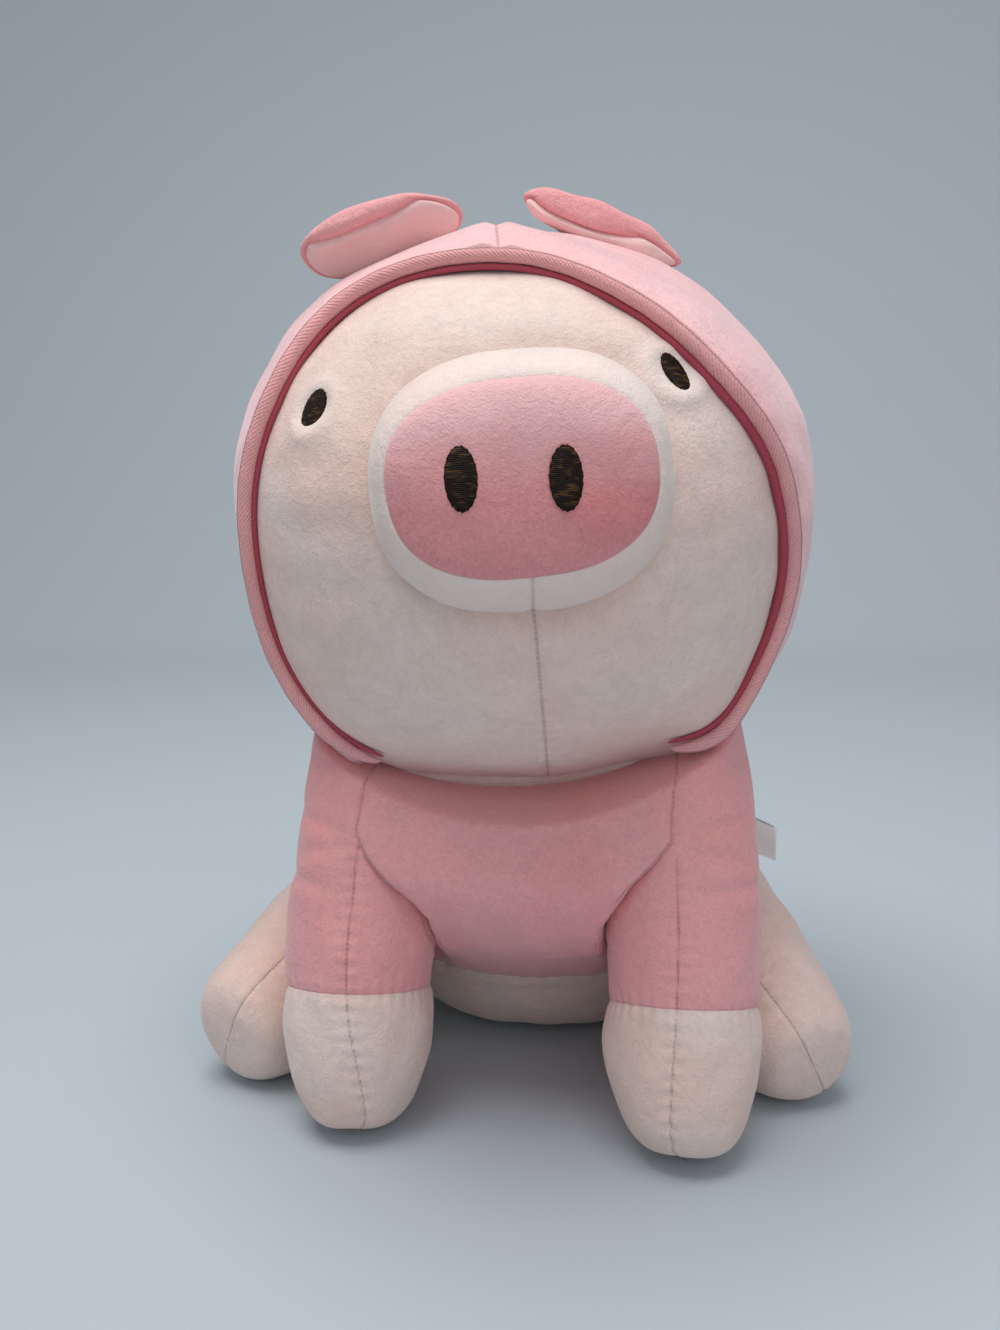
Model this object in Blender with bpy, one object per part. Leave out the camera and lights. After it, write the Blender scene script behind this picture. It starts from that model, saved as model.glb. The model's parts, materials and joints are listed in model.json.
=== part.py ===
# A plush pig in a hooded suit, sitting on its seat and propped on its front legs.
# Metres, +Z up. The snout points along -Y, and left and right are the pig's own, so left is +X.
# Each cover is a panel of short-pile cloth with its real wall, round a solid fibre filling.

import math

import bmesh
import bpy
import numpy as np
from mathutils import Matrix, Vector

# Cloth and clearances
CLOTH = 0.003
HOOD_CLOTH = 0.004
SEAM_GAP = 0.0003
NECK_GAP = 0.0013
FLOOR_DENT = 0.0005
OVERRUN = 0.02

# Head: a fat ball, round about the axis that it nods on, with a lower and narrower crown
HEAD_HALF_WIDTH = 0.120
HEAD_RADIUS = 0.121
HEAD_FORWARD = 0.087
HEAD_HEIGHT = 0.272
FACE_DEPTH = 0.058
HEAD_LEAN_DEG = 5.0
HEAD_TURN_DEG = 6.0

# Hood, its rolled hem and the band under the chin
HOOD_EASE = 0.003
HEM_RADIUS = 0.0045
CHIN_HALF_WIDTH = 0.060
CHIN_BAND_REACH = 0.050

# Snout
SNOUT_LENGTH = 0.036
SNOUT_RISE = 0.008
SNOUT_FOOT_HALF_WIDTH = 0.0495
SNOUT_FOOT_HALF_HEIGHT = 0.044
SNOUT_FRONT_HALF_WIDTH = 0.0455
SNOUT_FRONT_HALF_HEIGHT = 0.0355
SNOUT_CROWN = 0.008
SNOUT_SWELL = 0.004

# Embroidered eyes and nostrils
STITCH_HEIGHT = 0.0016
EYE_HALF_WIDTH = 0.0058
EYE_HALF_HEIGHT = 0.0085
EYE_SIDE = 0.0633
EYE_SHIFT = 0.0075
EYE_RISE = 0.046
EYE_SLANT_DEG = 16.0
NOSTRIL_HALF_WIDTH = 0.0052
NOSTRIL_HALF_HEIGHT = 0.0102
NOSTRIL_SIDE = 0.0165

# Ears: padded flaps sewn to the hood along their lower edge
EAR_SIDE = 0.048
EAR_BACK = -0.026
EAR_HALF_WIDTH = 0.034
EAR_HALF_THICKNESS = 0.0058
LEFT_EAR_RISE = 0.025
RIGHT_EAR_RISE = 0.023
LEFT_EAR_CURL = 0.014
RIGHT_EAR_CURL = 0.018
LEFT_EAR_SWAY = 0.019
RIGHT_EAR_SWAY = 0.010
EAR_ROOT = 0.006
EAR_POCKET = 0.0026
EAR_LINING_GAP = 0.0006
EAR_LINING_PROUD = 0.0006
EAR_FORWARD_DEG = 10.0
EAR_BACKWARD_DEG = 20.0

# Body: an egg that leans forward from the seat to the neck
BODY_HALF_WIDTH = 0.096
BODY_HALF_DEPTH = 0.086
BODY_HEIGHT = 0.205
BODY_LEAN = 0.092
SEAT_SEAM_HEIGHT = 0.052

# Front legs: a pink sleeve over a cream paw
SHOULDER_SIDE = 0.065
PAW_SIDE = 0.070
FRONT_LEG_LENGTH = 0.205
FRONT_LEG_HALF_WIDTH = 0.0365
FRONT_LEG_HALF_DEPTH = 0.038
SHOULDER_FORWARD = 0.094
LEFT_PAW_FORWARD = 0.155
RIGHT_PAW_FORWARD = 0.146
CUFF_HEIGHT = 0.057
FRONT_LEG_SWING_DEG = 12.0
SHOULDER_DROP = 0.055

# Hind legs: cream, splayed out along the floor
HIP_SIDE = 0.056
HIP_BACK = 0.034
HIP_HEIGHT = 0.070
FOOT_SIDE = 0.134
FOOT_FORWARD = 0.124
FOOT_HEIGHT = 0.028
HIND_LEG_HALF_WIDTH = 0.036
HIND_LEG_HALF_DEPTH = 0.040
HIND_LEG_SWING_DEG = 10.0

# Tail and side label
TAIL_RADIUS = 0.0055
TAIL_COIL_RADIUS = 0.011
TAIL_REACH = 0.028
TAIL_HEIGHT = 0.080
TAIL_TURNS = 1.25
LABEL_WIDTH = 0.018
LABEL_LENGTH = 0.024
LABEL_THICKNESS = 0.0008
LABEL_HEIGHT = 0.105
LABEL_BACK = 0.012

# Shares along each form, from its first end to its last
EVEN_SHARES = (1.0, 1.0)
BODY_WIDTH_SHARES = (1.0, 1.0, 1.0, 0.97, 0.95, 0.88)
BODY_DEPTH_SHARES = (1.0, 1.0, 1.0, 0.94, 0.89, 0.82)
BODY_LEAN_SHARES = (0.0, 0.05, 0.17, 0.45, 0.75, 1.0)
FRONT_LEG_WIDTH_SHARES = (1.05, 1.04, 1.0, 0.98, 1.02, 0.95)
FRONT_LEG_DEPTH_SHARES = (1.0, 1.0, 1.0, 0.98, 1.02, 0.98)
HIND_LEG_WIDTH_SHARES = (0.9, 0.98, 1.0, 1.0, 1.0, 0.98)
HIND_LEG_DEPTH_SHARES = (1.05, 1.14, 1.12, 1.0, 0.95, 0.95)
EAR_RISE_SHARES = (0.0, 0.28, 0.55, 0.79, 0.96)
EAR_CURL_SHARES = (0.0, 0.06, 0.25, 0.58, 1.0)
EAR_SWAY_SHARES = (0.0, 0.15, 0.4, 0.7, 1.0)
EAR_WIDTH_SHARES = (0.86, 1.0, 0.98, 0.9)
HEAD_FULLNESS_SHARE = 0.14
CROWN_HEIGHT_SHARE = 0.90
CROWN_NARROWING_SHARE = 0.10
SNOUT_SQUARE_SHARE = 0.82
SNOUT_COLUMN_SHARES = (0.0, 0.35, 0.7, 1.0)
SNOUT_DOME_SHARES = (0.0, 0.3, 0.6, 0.82)
TAIL_GROWTH_SHARE = 0.33
TAIL_TAPER_SHARE = 0.35
TANGENT_STEP_SHARE = 0.01
HEM_ANGLE_SHARE = 0.00001

# Bluntness of the two ends of each form: 1 is an ellipse's end, less is flatter
BODY_BLUNT = (0.5, 0.6)
FRONT_LEG_BLUNT = (0.5, 0.38)
HIND_LEG_BLUNT = (0.7, 0.42)
EAR_BLUNT = (0.35, 0.6)
ROUND_BLUNT = (1.0, 1.0)
STITCH_BLUNT = (0.6, 0.6)

# Facets
HEAD_SIDES = 32
HEAD_RINGS = (7, 10)
BODY_SIDES = 28
BODY_RINGS = (8, 10)
LEG_SIDES = 18
LEG_RINGS = (7, 7)
EAR_SIDES = 20
EAR_RINGS = (7, 7)
EAR_RIM_STEPS = 2
EAR_ROOT_RINGS = 3
EAR_TIP_RINGS = 3
HEM_SIDES = 8
HEM_STEPS = 44
STITCH_SIDES = 14
STITCH_RINGS = (3, 3)
TAIL_STEPS = 22
SHARP_EDGE_DEG = 50.0

PINK = (0.87, 0.40, 0.42)
CREAM = (0.90, 0.72, 0.66)
PALE_PINK = (0.92, 0.66, 0.64)
BROWN = (0.06, 0.03, 0.02)
WHITE = (0.90, 0.90, 0.88)
FIBRE = (0.93, 0.93, 0.92)

LEFT = 1
RIGHT = -1
SIDE_NAMES = {LEFT: "left", RIGHT: "right"}
EAR_RISES = {LEFT: LEFT_EAR_RISE, RIGHT: RIGHT_EAR_RISE}
EAR_CURLS = {LEFT: LEFT_EAR_CURL, RIGHT: RIGHT_EAR_CURL}
EAR_SWAYS = {LEFT: LEFT_EAR_SWAY, RIGHT: RIGHT_EAR_SWAY}
PAWS_FORWARD = {LEFT: LEFT_PAW_FORWARD, RIGHT: RIGHT_PAW_FORWARD}
HEAD_CENTRE = Vector((0, -HEAD_FORWARD, HEAD_HEIGHT))
HOOD_GROWTH = HOOD_EASE + HOOD_CLOTH


def clear_scene():
    for old in list(bpy.data.objects):
        bpy.data.objects.remove(old, do_unlink=True)


def cloth_material(name, colour, roughness=0.9):
    made = bpy.data.materials.new(name)
    made.use_nodes = True
    shader = made.node_tree.nodes["Principled BSDF"]
    shader.inputs["Base Color"].default_value = (*colour, 1.0)
    shader.inputs["Roughness"].default_value = roughness
    shader.inputs["Metallic"].default_value = 0.0
    return made


def add_object(name, mesh, colour):
    piece = bpy.data.objects.new(name, mesh)
    bpy.context.scene.collection.objects.link(piece)
    mesh.materials.append(cloth_material(name, colour))
    return piece


def lofted(name, loops, colour, ring_closes=False, flat_ends=False):
    """A closed mesh over loops of points, in order. A loop of one point is a pole."""
    points = []
    starts = []
    for loop in loops:
        starts.append(len(points))
        points.extend(tuple(float(c) for c in p) for p in loop)
    sizes = [len(loop) for loop in loops]
    faces = []
    pairs = list(zip(range(len(loops) - 1), range(1, len(loops))))
    if ring_closes:
        pairs.append((len(loops) - 1, 0))
    for a, b in pairs:
        sides = max(sizes[a], sizes[b])
        for i in range(sides):
            j = (i + 1) % sides
            corners = []
            corners.append(starts[a] + (i if sizes[a] > 1 else 0))
            if sizes[a] > 1:
                corners.append(starts[a] + j)
            corners.append(starts[b] + (j if sizes[b] > 1 else 0))
            if sizes[b] > 1:
                corners.append(starts[b] + i)
            faces.append(corners)
    if flat_ends:
        faces.append(list(range(starts[0], starts[0] + sizes[0])))
        faces.append(list(range(starts[-1], starts[-1] + sizes[-1])))
    mesh = bpy.data.meshes.new(name)
    mesh.from_pydata(points, [], faces)
    work = bmesh.new()
    work.from_mesh(mesh)
    bmesh.ops.recalc_face_normals(work, faces=work.faces)
    work.to_mesh(mesh)
    work.free()
    mesh.shade_smooth()
    mesh.set_sharp_from_angle(angle=math.radians(SHARP_EDGE_DEG))
    return add_object(name, mesh, colour)


def smooth_at(values, share):
    """The value at a share of the way along evenly spaced values, on a smooth curve through them."""
    known = np.array(values, float)
    last = len(known) - 1
    padded = np.concatenate([[2 * known[0] - known[1]], known, [2 * known[-1] - known[-2]]])
    place = np.asarray(share, float) * last
    first = np.clip(np.floor(place).astype(int), 0, last - 1)
    t = place - first
    if known.ndim > 1:
        t = t[:, None]
    a = padded[first]
    b = padded[first + 1]
    c = padded[first + 2]
    d = padded[first + 3]
    return b + 0.5 * t * (c - a + t * (2 * a - 5 * b + 4 * c - d + t * (3 * (b - c) + d - a)))


def make_form(spine, half_width, half_depth, width_shares, depth_shares, blunt, across, rings, level=False):
    """A stuffed form: elliptical rings along a spine, with rounded ends.
    rings is the count of rings before and after its seam, which "seam" places along the spine."""
    return {
        "rings": rings,
        "seam": 0.5,
        "headed": False,
        "spine": np.array([tuple(p) for p in spine], float),
        "half_width": half_width,
        "half_depth": half_depth,
        "width_shares": width_shares,
        "depth_shares": depth_shares,
        "blunt": blunt,
        "across": np.array(across, float),
        "level": level,
    }


def form_rings(form, sides, rings, inset, first, last):
    """Rings of points on the form, drawn in by inset, between two shares of its spine."""
    spine = form["spine"]
    length = float(np.linalg.norm(spine[-1] - spine[0]))
    end = inset / length
    turns = []
    for share in (first, last):
        if share <= 0:
            turns.append(0.0)
        elif share >= 1:
            turns.append(math.pi)
        else:
            turns.append(math.acos(1 - 2 * (share - end) / (1 - 2 * end)))
    turn = np.linspace(turns[0], turns[1], rings)
    along = end + (1 - 2 * end) * (1 - np.cos(turn)) / 2
    blunt = form["blunt"][0] + (form["blunt"][1] - form["blunt"][0]) * along
    rounding = np.maximum(np.sin(turn), 0) ** blunt
    width = (form["half_width"] * smooth_at(form["width_shares"], along) - inset) * rounding
    depth = (form["half_depth"] * smooth_at(form["depth_shares"], along) - inset) * rounding
    centre = smooth_at(spine, along)
    across = np.tile(form["across"], (rings, 1))
    if form["level"]:
        deep = np.tile(np.array((0.0, 1.0, 0.0)), (rings, 1))
    else:
        tangent = smooth_at(spine, along + TANGENT_STEP_SHARE) - smooth_at(spine, along - TANGENT_STEP_SHARE)
        tangent -= across * np.sum(across * tangent, axis=1)[:, None]
        tangent /= np.linalg.norm(tangent, axis=1)[:, None]
        deep = np.cross(tangent, across)
    angle = np.arange(sides) * math.tau / sides
    cos = np.cos(angle)[None, :, None]
    sin = np.sin(angle)[None, :, None]
    grid = (
        centre[:, None, :]
        + width[:, None, None] * cos * across[:, None, :]
        + depth[:, None, None] * sin * deep[:, None, :]
    )
    if form["headed"]:
        grid = head_shaped(grid)
    loops = [list(row) for row in grid]
    if first <= 0:
        loops[0] = [centre[0]]
    if last >= 1:
        loops[-1] = [centre[-1]]
    return loops


def head_shaped(points):
    """Points of the head's plain ball, moved to the head's shape: fuller at the sides all round,
    and above its centre lower and narrower."""
    points = np.array(points, float)
    centre = np.array(HEAD_CENTRE)
    across = points[..., 0] - centre[0]
    up = points[..., 2] - centre[2]
    edge = HEAD_HALF_WIDTH + HOOD_GROWTH
    fuller = 1 + HEAD_FULLNESS_SHARE * (1 - np.minimum((across / edge) ** 2, 1))
    high = np.maximum(up, 0) / HEAD_RADIUS
    points[..., 0] = centre[0] + across * fuller * (1 - CROWN_NARROWING_SHARE * high**2)
    points[..., 2] = centre[2] + np.where(up > 0, up * CROWN_HEIGHT_SHARE, up)
    return points


def whole_rings(form, sides, inset=0.0):
    """The form's rings from end to end, with one ring on its seam."""
    before = form_rings(form, sides, form["rings"][0], inset, 0.0, form["seam"])
    after = form_rings(form, sides, form["rings"][1], inset, form["seam"], 1.0)
    return before + after[1:]


def settled(form, sides):
    """The form, lowered or raised so that its lowest point dents the floor by FLOOR_DENT."""
    lowest = min(float(p[2]) for loop in whole_rings(form, sides) for p in loop)
    form["spine"][:, 2] -= lowest + FLOOR_DENT
    return form


def solid_of(name, form, sides, colour, inset=0.0):
    return lofted(name, whole_rings(form, sides, inset), colour)


def first_panel(name, form, sides, colour, wall):
    """The cloth panel from the form's first end to its seam, open at the seam."""
    rings = form["rings"][0]
    outer = form_rings(form, sides, rings, 0.0, 0.0, form["seam"])
    inner = form_rings(form, sides, rings, wall, 0.0, form["seam"])
    return lofted(name, outer + inner[::-1], colour)


def second_panel(name, form, sides, colour, wall, gap):
    """The cloth panel from just past the form's seam to its last end, open at the seam."""
    rings = form["rings"][1]
    start = form["seam"] + gap / float(np.linalg.norm(form["spine"][-1] - form["spine"][0]))
    outer = form_rings(form, sides, rings, 0.0, start, 1.0)
    inner = form_rings(form, sides, rings, wall, start, 1.0)
    return lofted(name, inner[::-1] + outer, colour)


def as_cutter(piece):
    piece.hide_render = True
    piece.display_type = "WIRE"
    return piece


def add_pivot(name, place):
    """An empty on a joint's axis."""
    pivot = bpy.data.objects.new(name, None)
    bpy.context.scene.collection.objects.link(pivot)
    pivot.empty_display_size = CLOTH
    pivot.location = place
    return pivot


def carry(pivot, *pieces):
    """Parents pieces, modelled in place, to an unturned pivot, so that they turn about it."""
    for piece in pieces:
        piece.parent = pivot
        piece.matrix_parent_inverse = Matrix.Translation(-pivot.location)


def turned_copy(piece, name, place, axis, degrees):
    """A copy of a cutter as it stands, turned about an axis through place."""
    bpy.context.view_layer.update()
    copied = bpy.data.objects.new(name, piece.data)
    bpy.context.scene.collection.objects.link(copied)
    turn = Matrix.Rotation(math.radians(degrees), 4, Vector(axis))
    copied.matrix_world = Matrix.Translation(place) @ turn @ Matrix.Translation(-place) @ piece.matrix_world
    return as_cutter(copied)


def box_cutter(name, low, high):
    corners = [(x, y, z) for z in (low[2], high[2]) for y in (low[1], high[1]) for x in (low[0], high[0])]
    mesh = bpy.data.meshes.new(name)
    sides = [(0, 2, 3, 1), (4, 5, 7, 6), (0, 1, 5, 4), (2, 6, 7, 3), (0, 4, 6, 2), (1, 3, 7, 5)]
    mesh.from_pydata(corners, [], sides)
    return as_cutter(add_object(name, mesh, WHITE))


def boolean(piece, other, operation="DIFFERENCE"):
    change = piece.modifiers.new(other.name, "BOOLEAN")
    change.operation = operation
    change.solver = "EXACT"
    change.object = other


def cut(piece, *cutters):
    for cutter in cutters:
        boolean(piece, cutter)


# Head, hood and chin band
def ball_form(growth=0.0, setback=0.0):
    """The head's ball, grown all round, with its spine from the face to the nape.
    Its seam lies in the plane of the hem, or set back from it."""
    radius = HEAD_RADIUS + growth
    reach = Vector((0, radius, 0))
    spine = (HEAD_CENTRE - reach, HEAD_CENTRE, HEAD_CENTRE + reach)
    wide = HEAD_HALF_WIDTH + growth
    form = make_form(spine, wide, radius, EVEN_SHARES, EVEN_SHARES, ROUND_BLUNT, (1, 0, 0), HEAD_RINGS)
    form["seam"] = (radius - (HEAD_RADIUS - FACE_DEPTH) + setback) / (2 * radius)
    form["headed"] = True
    return form


def snout_ring(forward, half_width, half_height, sides=HEAD_SIDES):
    """A rounded-rectangle ring that stands across the snout, forward of the head's centre."""
    ring = []
    for i in range(sides):
        angle = math.tau * i / sides
        across = math.copysign(abs(math.cos(angle)) ** SNOUT_SQUARE_SHARE, math.cos(angle))
        up = math.copysign(abs(math.sin(angle)) ** SNOUT_SQUARE_SHARE, math.sin(angle))
        offset = Vector((half_width * across, -forward, SNOUT_RISE + half_height * up))
        ring.append(HEAD_CENTRE + offset)
    return ring


def snout_column(inset, back, front, swell):
    """Rings from the root of the snout, inside the face, to its front edge."""
    rings = []
    for share in SNOUT_COLUMN_SHARES:
        bulge = swell * math.sin(math.pi * share)
        half_width = SNOUT_FOOT_HALF_WIDTH + (SNOUT_FRONT_HALF_WIDTH - SNOUT_FOOT_HALF_WIDTH) * share
        half_height = SNOUT_FOOT_HALF_HEIGHT + (SNOUT_FRONT_HALF_HEIGHT - SNOUT_FOOT_HALF_HEIGHT) * share
        forward = back + (front - back) * share
        rings.append(snout_ring(forward, half_width + bulge - inset, half_height + bulge - inset))
    return rings


def snout_dome(inset, edge):
    """Rings from the snout's front edge to the pole of its crown."""
    rings = []
    for share in SNOUT_DOME_SHARES:
        shrink = math.cos(share * math.pi / 2)
        forward = edge + SNOUT_CROWN * math.sin(share * math.pi / 2)
        half_width = (SNOUT_FRONT_HALF_WIDTH - inset) * shrink
        half_height = (SNOUT_FRONT_HALF_HEIGHT - inset) * shrink
        rings.append(snout_ring(forward, half_width, half_height))
    rings.append([HEAD_CENTRE + Vector((0, -edge - SNOUT_CROWN, SNOUT_RISE))])
    return rings


def make_snout():
    edge = HEAD_RADIUS + SNOUT_LENGTH - SNOUT_CROWN
    root = HEAD_RADIUS - OVERRUN
    outer = snout_column(0.0, root, edge, SNOUT_SWELL)
    inner = snout_column(CLOTH, root, edge, SNOUT_SWELL)
    side = lofted("snout_side", outer + inner[::-1], CREAM, ring_closes=True)
    seam = edge + SEAM_GAP
    dome = snout_dome(0.0, seam)
    dome_inside = snout_dome(CLOTH, seam - CLOTH)
    front_rim = snout_ring(seam, SNOUT_FRONT_HALF_WIDTH - CLOTH, SNOUT_FRONT_HALF_HEIGHT - CLOTH)
    front = lofted("snout_front", dome[::-1] + [front_rim] + dome_inside[1:], PINK)
    core = CLOTH + SEAM_GAP
    filling_rings = snout_column(core, root, edge - core, SNOUT_SWELL)
    pole = [HEAD_CENTRE + Vector((0, -root, SNOUT_RISE))]
    dome_core = snout_dome(core, seam - core)
    filling = lofted("snout_filling", [pole] + filling_rings[:-1] + dome_core, FIBRE)
    opening = snout_column(CLOTH, root, edge, SNOUT_SWELL)
    behind = root - OVERRUN
    tail_ring = snout_ring(behind, SNOUT_FOOT_HALF_WIDTH - CLOTH, SNOUT_FOOT_HALF_HEIGHT - CLOTH)
    back_pole = [HEAD_CENTRE + Vector((0, -behind, SNOUT_RISE))]
    front_pole = [HEAD_CENTRE + Vector((0, -edge, SNOUT_RISE))]
    hole = as_cutter(lofted("snout_hole", [back_pole, tail_ring] + opening + [front_pole], WHITE))
    return side, front, filling, hole


def stitched_patch(name, centre, outward, half_width, half_height, slant_deg):
    """A flat lens of satin stitch that stands on cloth, to be cut by the cloth under it."""
    outward = Vector(outward).normalized()
    side = Vector((0, 0, 1)).cross(outward).normalized()
    turn = Matrix.Rotation(math.radians(slant_deg), 3, outward)
    side = turn @ side
    reach = outward * STITCH_HEIGHT
    spine = (centre - reach, centre, centre + reach)
    form = make_form(
        spine, half_width, half_height, EVEN_SHARES, EVEN_SHARES, STITCH_BLUNT, side, STITCH_RINGS
    )
    return solid_of(name, form, STITCH_SIDES, BROWN)


def head_place(across, back, up, growth=0.0):
    """The head's point over a place of its plain ball grown by growth, and its outward normal.
    Of the place's three offsets from the head's centre, the one given as None is worked out."""
    size = Vector((HEAD_HALF_WIDTH + growth, HEAD_RADIUS + growth, HEAD_RADIUS + growth))
    if back is None:
        back = -size.y * math.sqrt(1 - (across / size.x) ** 2 - (up / size.z) ** 2)
    if up is None:
        up = size.z * math.sqrt(1 - (across / size.x) ** 2 - (back / size.y) ** 2)
    outward = Vector((across / size.x, back / size.y, up / size.z))
    side = outward.orthogonal().normalized()
    rise = outward.cross(side)

    def point(a, b):
        near = (outward + TANGENT_STEP_SHARE * (a * side + b * rise)).normalized()
        place = HEAD_CENTRE + Vector((size.x * near.x, size.y * near.y, size.z * near.z))
        return Vector(head_shaped(place))

    normal = (point(1, 0) - point(-1, 0)).cross(point(0, 1) - point(0, -1)).normalized()
    return point(0, 0), normal


def make_head(head_pivot):
    ball = ball_form()
    face = first_panel("face_panel", ball, HEAD_SIDES, CREAM, CLOTH)
    back = second_panel("head_back_panel", ball, HEAD_SIDES, CREAM, CLOTH, SEAM_GAP)
    filling = solid_of("head_filling", ball, HEAD_SIDES, FIBRE, CLOTH + SEAM_GAP)
    side, front, snout_filling, hole = make_snout()
    face_cutter = as_cutter(solid_of("face_cutter", ball, HEAD_SIDES, WHITE, -SEAM_GAP))
    core_cutter = as_cutter(solid_of("core_cutter", ball, HEAD_SIDES, WHITE, CLOTH))
    cut(face, hole)
    cut(side, face_cutter)
    cut(snout_filling, core_cutter)
    carry(head_pivot, face, back, filling, side, front, snout_filling, hole, face_cutter, core_cutter)
    for hand in (LEFT, RIGHT):
        point, normal = head_place(hand * EYE_SIDE - EYE_SHIFT, None, EYE_RISE)
        name = "eye_" + SIDE_NAMES[hand]
        eye = stitched_patch(name, point, normal, EYE_HALF_WIDTH, EYE_HALF_HEIGHT, hand * EYE_SLANT_DEG)
        cut(eye, face_cutter)
        carry(head_pivot, eye)
    make_nostrils(head_pivot)


def make_nostrils(head_pivot):
    edge = HEAD_RADIUS + SNOUT_LENGTH - SNOUT_CROWN + 2 * SEAM_GAP
    back_pole = [HEAD_CENTRE + Vector((0, OVERRUN - edge, SNOUT_RISE))]
    rings = snout_dome(0.0, edge)
    root = snout_ring(edge - OVERRUN, SNOUT_FRONT_HALF_WIDTH, SNOUT_FRONT_HALF_HEIGHT)
    cutter = as_cutter(lofted("nostril_cutter", [back_pole, root] + rings, WHITE))
    carry(head_pivot, cutter)
    share = math.acos(NOSTRIL_SIDE / SNOUT_FRONT_HALF_WIDTH)
    forward = edge + SNOUT_CROWN * math.sin(share)
    for hand in (LEFT, RIGHT):
        centre = HEAD_CENTRE + Vector((hand * NOSTRIL_SIDE, -forward, SNOUT_RISE))
        lean = hand * SNOUT_CROWN / SNOUT_FRONT_HALF_WIDTH
        name = "nostril_" + SIDE_NAMES[hand]
        patch = stitched_patch(name, centre, (lean, -1, 0), NOSTRIL_HALF_WIDTH, NOSTRIL_HALF_HEIGHT, 0.0)
        cut(patch, cutter)
        carry(head_pivot, patch)


def hem_point(angle, growth):
    """A point of the face opening's edge, at an angle from straight up, on the ball grown by growth."""
    offset = HEAD_RADIUS - FACE_DEPTH
    shrink = math.sqrt(1 - (offset / (HEAD_RADIUS + growth)) ** 2)
    across = (HEAD_HALF_WIDTH + growth) * shrink * math.sin(angle)
    up = (HEAD_RADIUS + growth) * shrink * math.cos(angle)
    return Vector(head_shaped(HEAD_CENTRE + Vector((across, -offset, up))))


def make_hood(head_pivot):
    shell = ball_form(HOOD_GROWTH, HEM_RADIUS)
    hood = second_panel("hood", shell, HEAD_SIDES, PINK, HOOD_CLOTH, SEAM_GAP)
    bottom = HEAD_HEIGHT - HEAD_RADIUS - HOOD_GROWTH - OVERRUN
    chin_top = HEAD_HEIGHT - HEAD_RADIUS / 2
    front_y = -HEAD_FORWARD - HEAD_RADIUS - OVERRUN
    back_y = -HEAD_FORWARD - HEAD_RADIUS + FACE_DEPTH + CHIN_BAND_REACH
    gap = SEAM_GAP / 2
    wide = CHIN_HALF_WIDTH + gap
    slim = CHIN_HALF_WIDTH - gap
    notch = box_cutter("chin_notch", (-wide, front_y, bottom), (wide, back_y + gap, chin_top))
    cut(hood, notch)
    band = second_panel("chin_band", ball_form(HOOD_GROWTH), HEAD_SIDES, CREAM, HOOD_CLOTH, 0.0)
    keeper = box_cutter("chin_keeper", (-slim, front_y, bottom), (slim, back_y - gap, chin_top))
    boolean(band, keeper, "INTERSECT")
    mid = HOOD_GROWTH - HOOD_CLOTH / 2
    clear = CHIN_HALF_WIDTH + HEM_RADIUS + SEAM_GAP
    high = math.pi / 2
    reach = math.pi
    while reach - high > HEM_ANGLE_SHARE * math.pi:
        middle = (high + reach) / 2
        if hem_point(middle, mid).x > clear:
            high = middle
        else:
            reach = middle
    reach = high
    loops = []
    for step in range(HEM_STEPS + 1):
        angle = reach * (2 * step / HEM_STEPS - 1)
        centre = hem_point(angle, mid)
        out = (hem_point(angle, mid + HOOD_CLOTH) - centre)
        out.y = 0
        out.normalize()
        ring = []
        for i in range(HEM_SIDES):
            turn = math.tau * i / HEM_SIDES
            ring.append(centre + HEM_RADIUS * (math.cos(turn) * out + math.sin(turn) * Vector((0, 1, 0))))
        loops.append(ring)
    first_pole = [sum(loops[0], Vector()) / HEM_SIDES]
    last_pole = [sum(loops[-1], Vector()) / HEM_SIDES]
    hem = lofted("hood_hem", [first_pole] + loops + [last_pole], PINK)
    carry(head_pivot, hood, notch, band, keeper, hem)


def ear_front(ring):
    """The direction from the ring's centre to its front point, and the points that the pocket takes in."""
    centre = sum((Vector(p) for p in ring), Vector()) / len(ring)
    front = (Vector(ring[EAR_SIDES // 4]) - centre).normalized()
    taken = range(EAR_RIM_STEPS, EAR_SIDES // 2 - EAR_RIM_STEPS + 1)
    return centre, front, taken


def pocketed_rings(form):
    """The ear's rings, with its front sunk where the lining lies, inside a rim."""
    rings = whole_rings(form, EAR_SIDES)
    for k in range(EAR_ROOT_RINGS, len(rings) - EAR_TIP_RINGS):
        ring = [Vector(p) for p in rings[k]]
        _, front, taken = ear_front(ring)
        for i in taken:
            ring[i] = ring[i] - front * EAR_POCKET
        rings[k] = ring
    return rings


def lining_rings(form):
    """The lining's rings: a thin pad that fills the ear's pocket and stands a little proud of it."""
    rings = whole_rings(form, EAR_SIDES)
    loops = []
    for k in range(EAR_ROOT_RINGS, len(rings) - EAR_TIP_RINGS):
        ring = [Vector(p) for p in rings[k]]
        centre, front, taken = ear_front(ring)
        taken = list(taken)
        outer = []
        inner = []
        for i in taken:
            point = ring[i]
            if i in (taken[0], taken[-1]):
                inward = centre - point
                inward -= front * inward.dot(front)
                point = point + inward.normalized() * EAR_LINING_GAP
                outer.append(point)
            else:
                outer.append(point + front * EAR_LINING_PROUD)
            inner.append(point - front * (EAR_POCKET - EAR_LINING_GAP))
        loops.append(outer + inner[::-1])
    return loops


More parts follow.
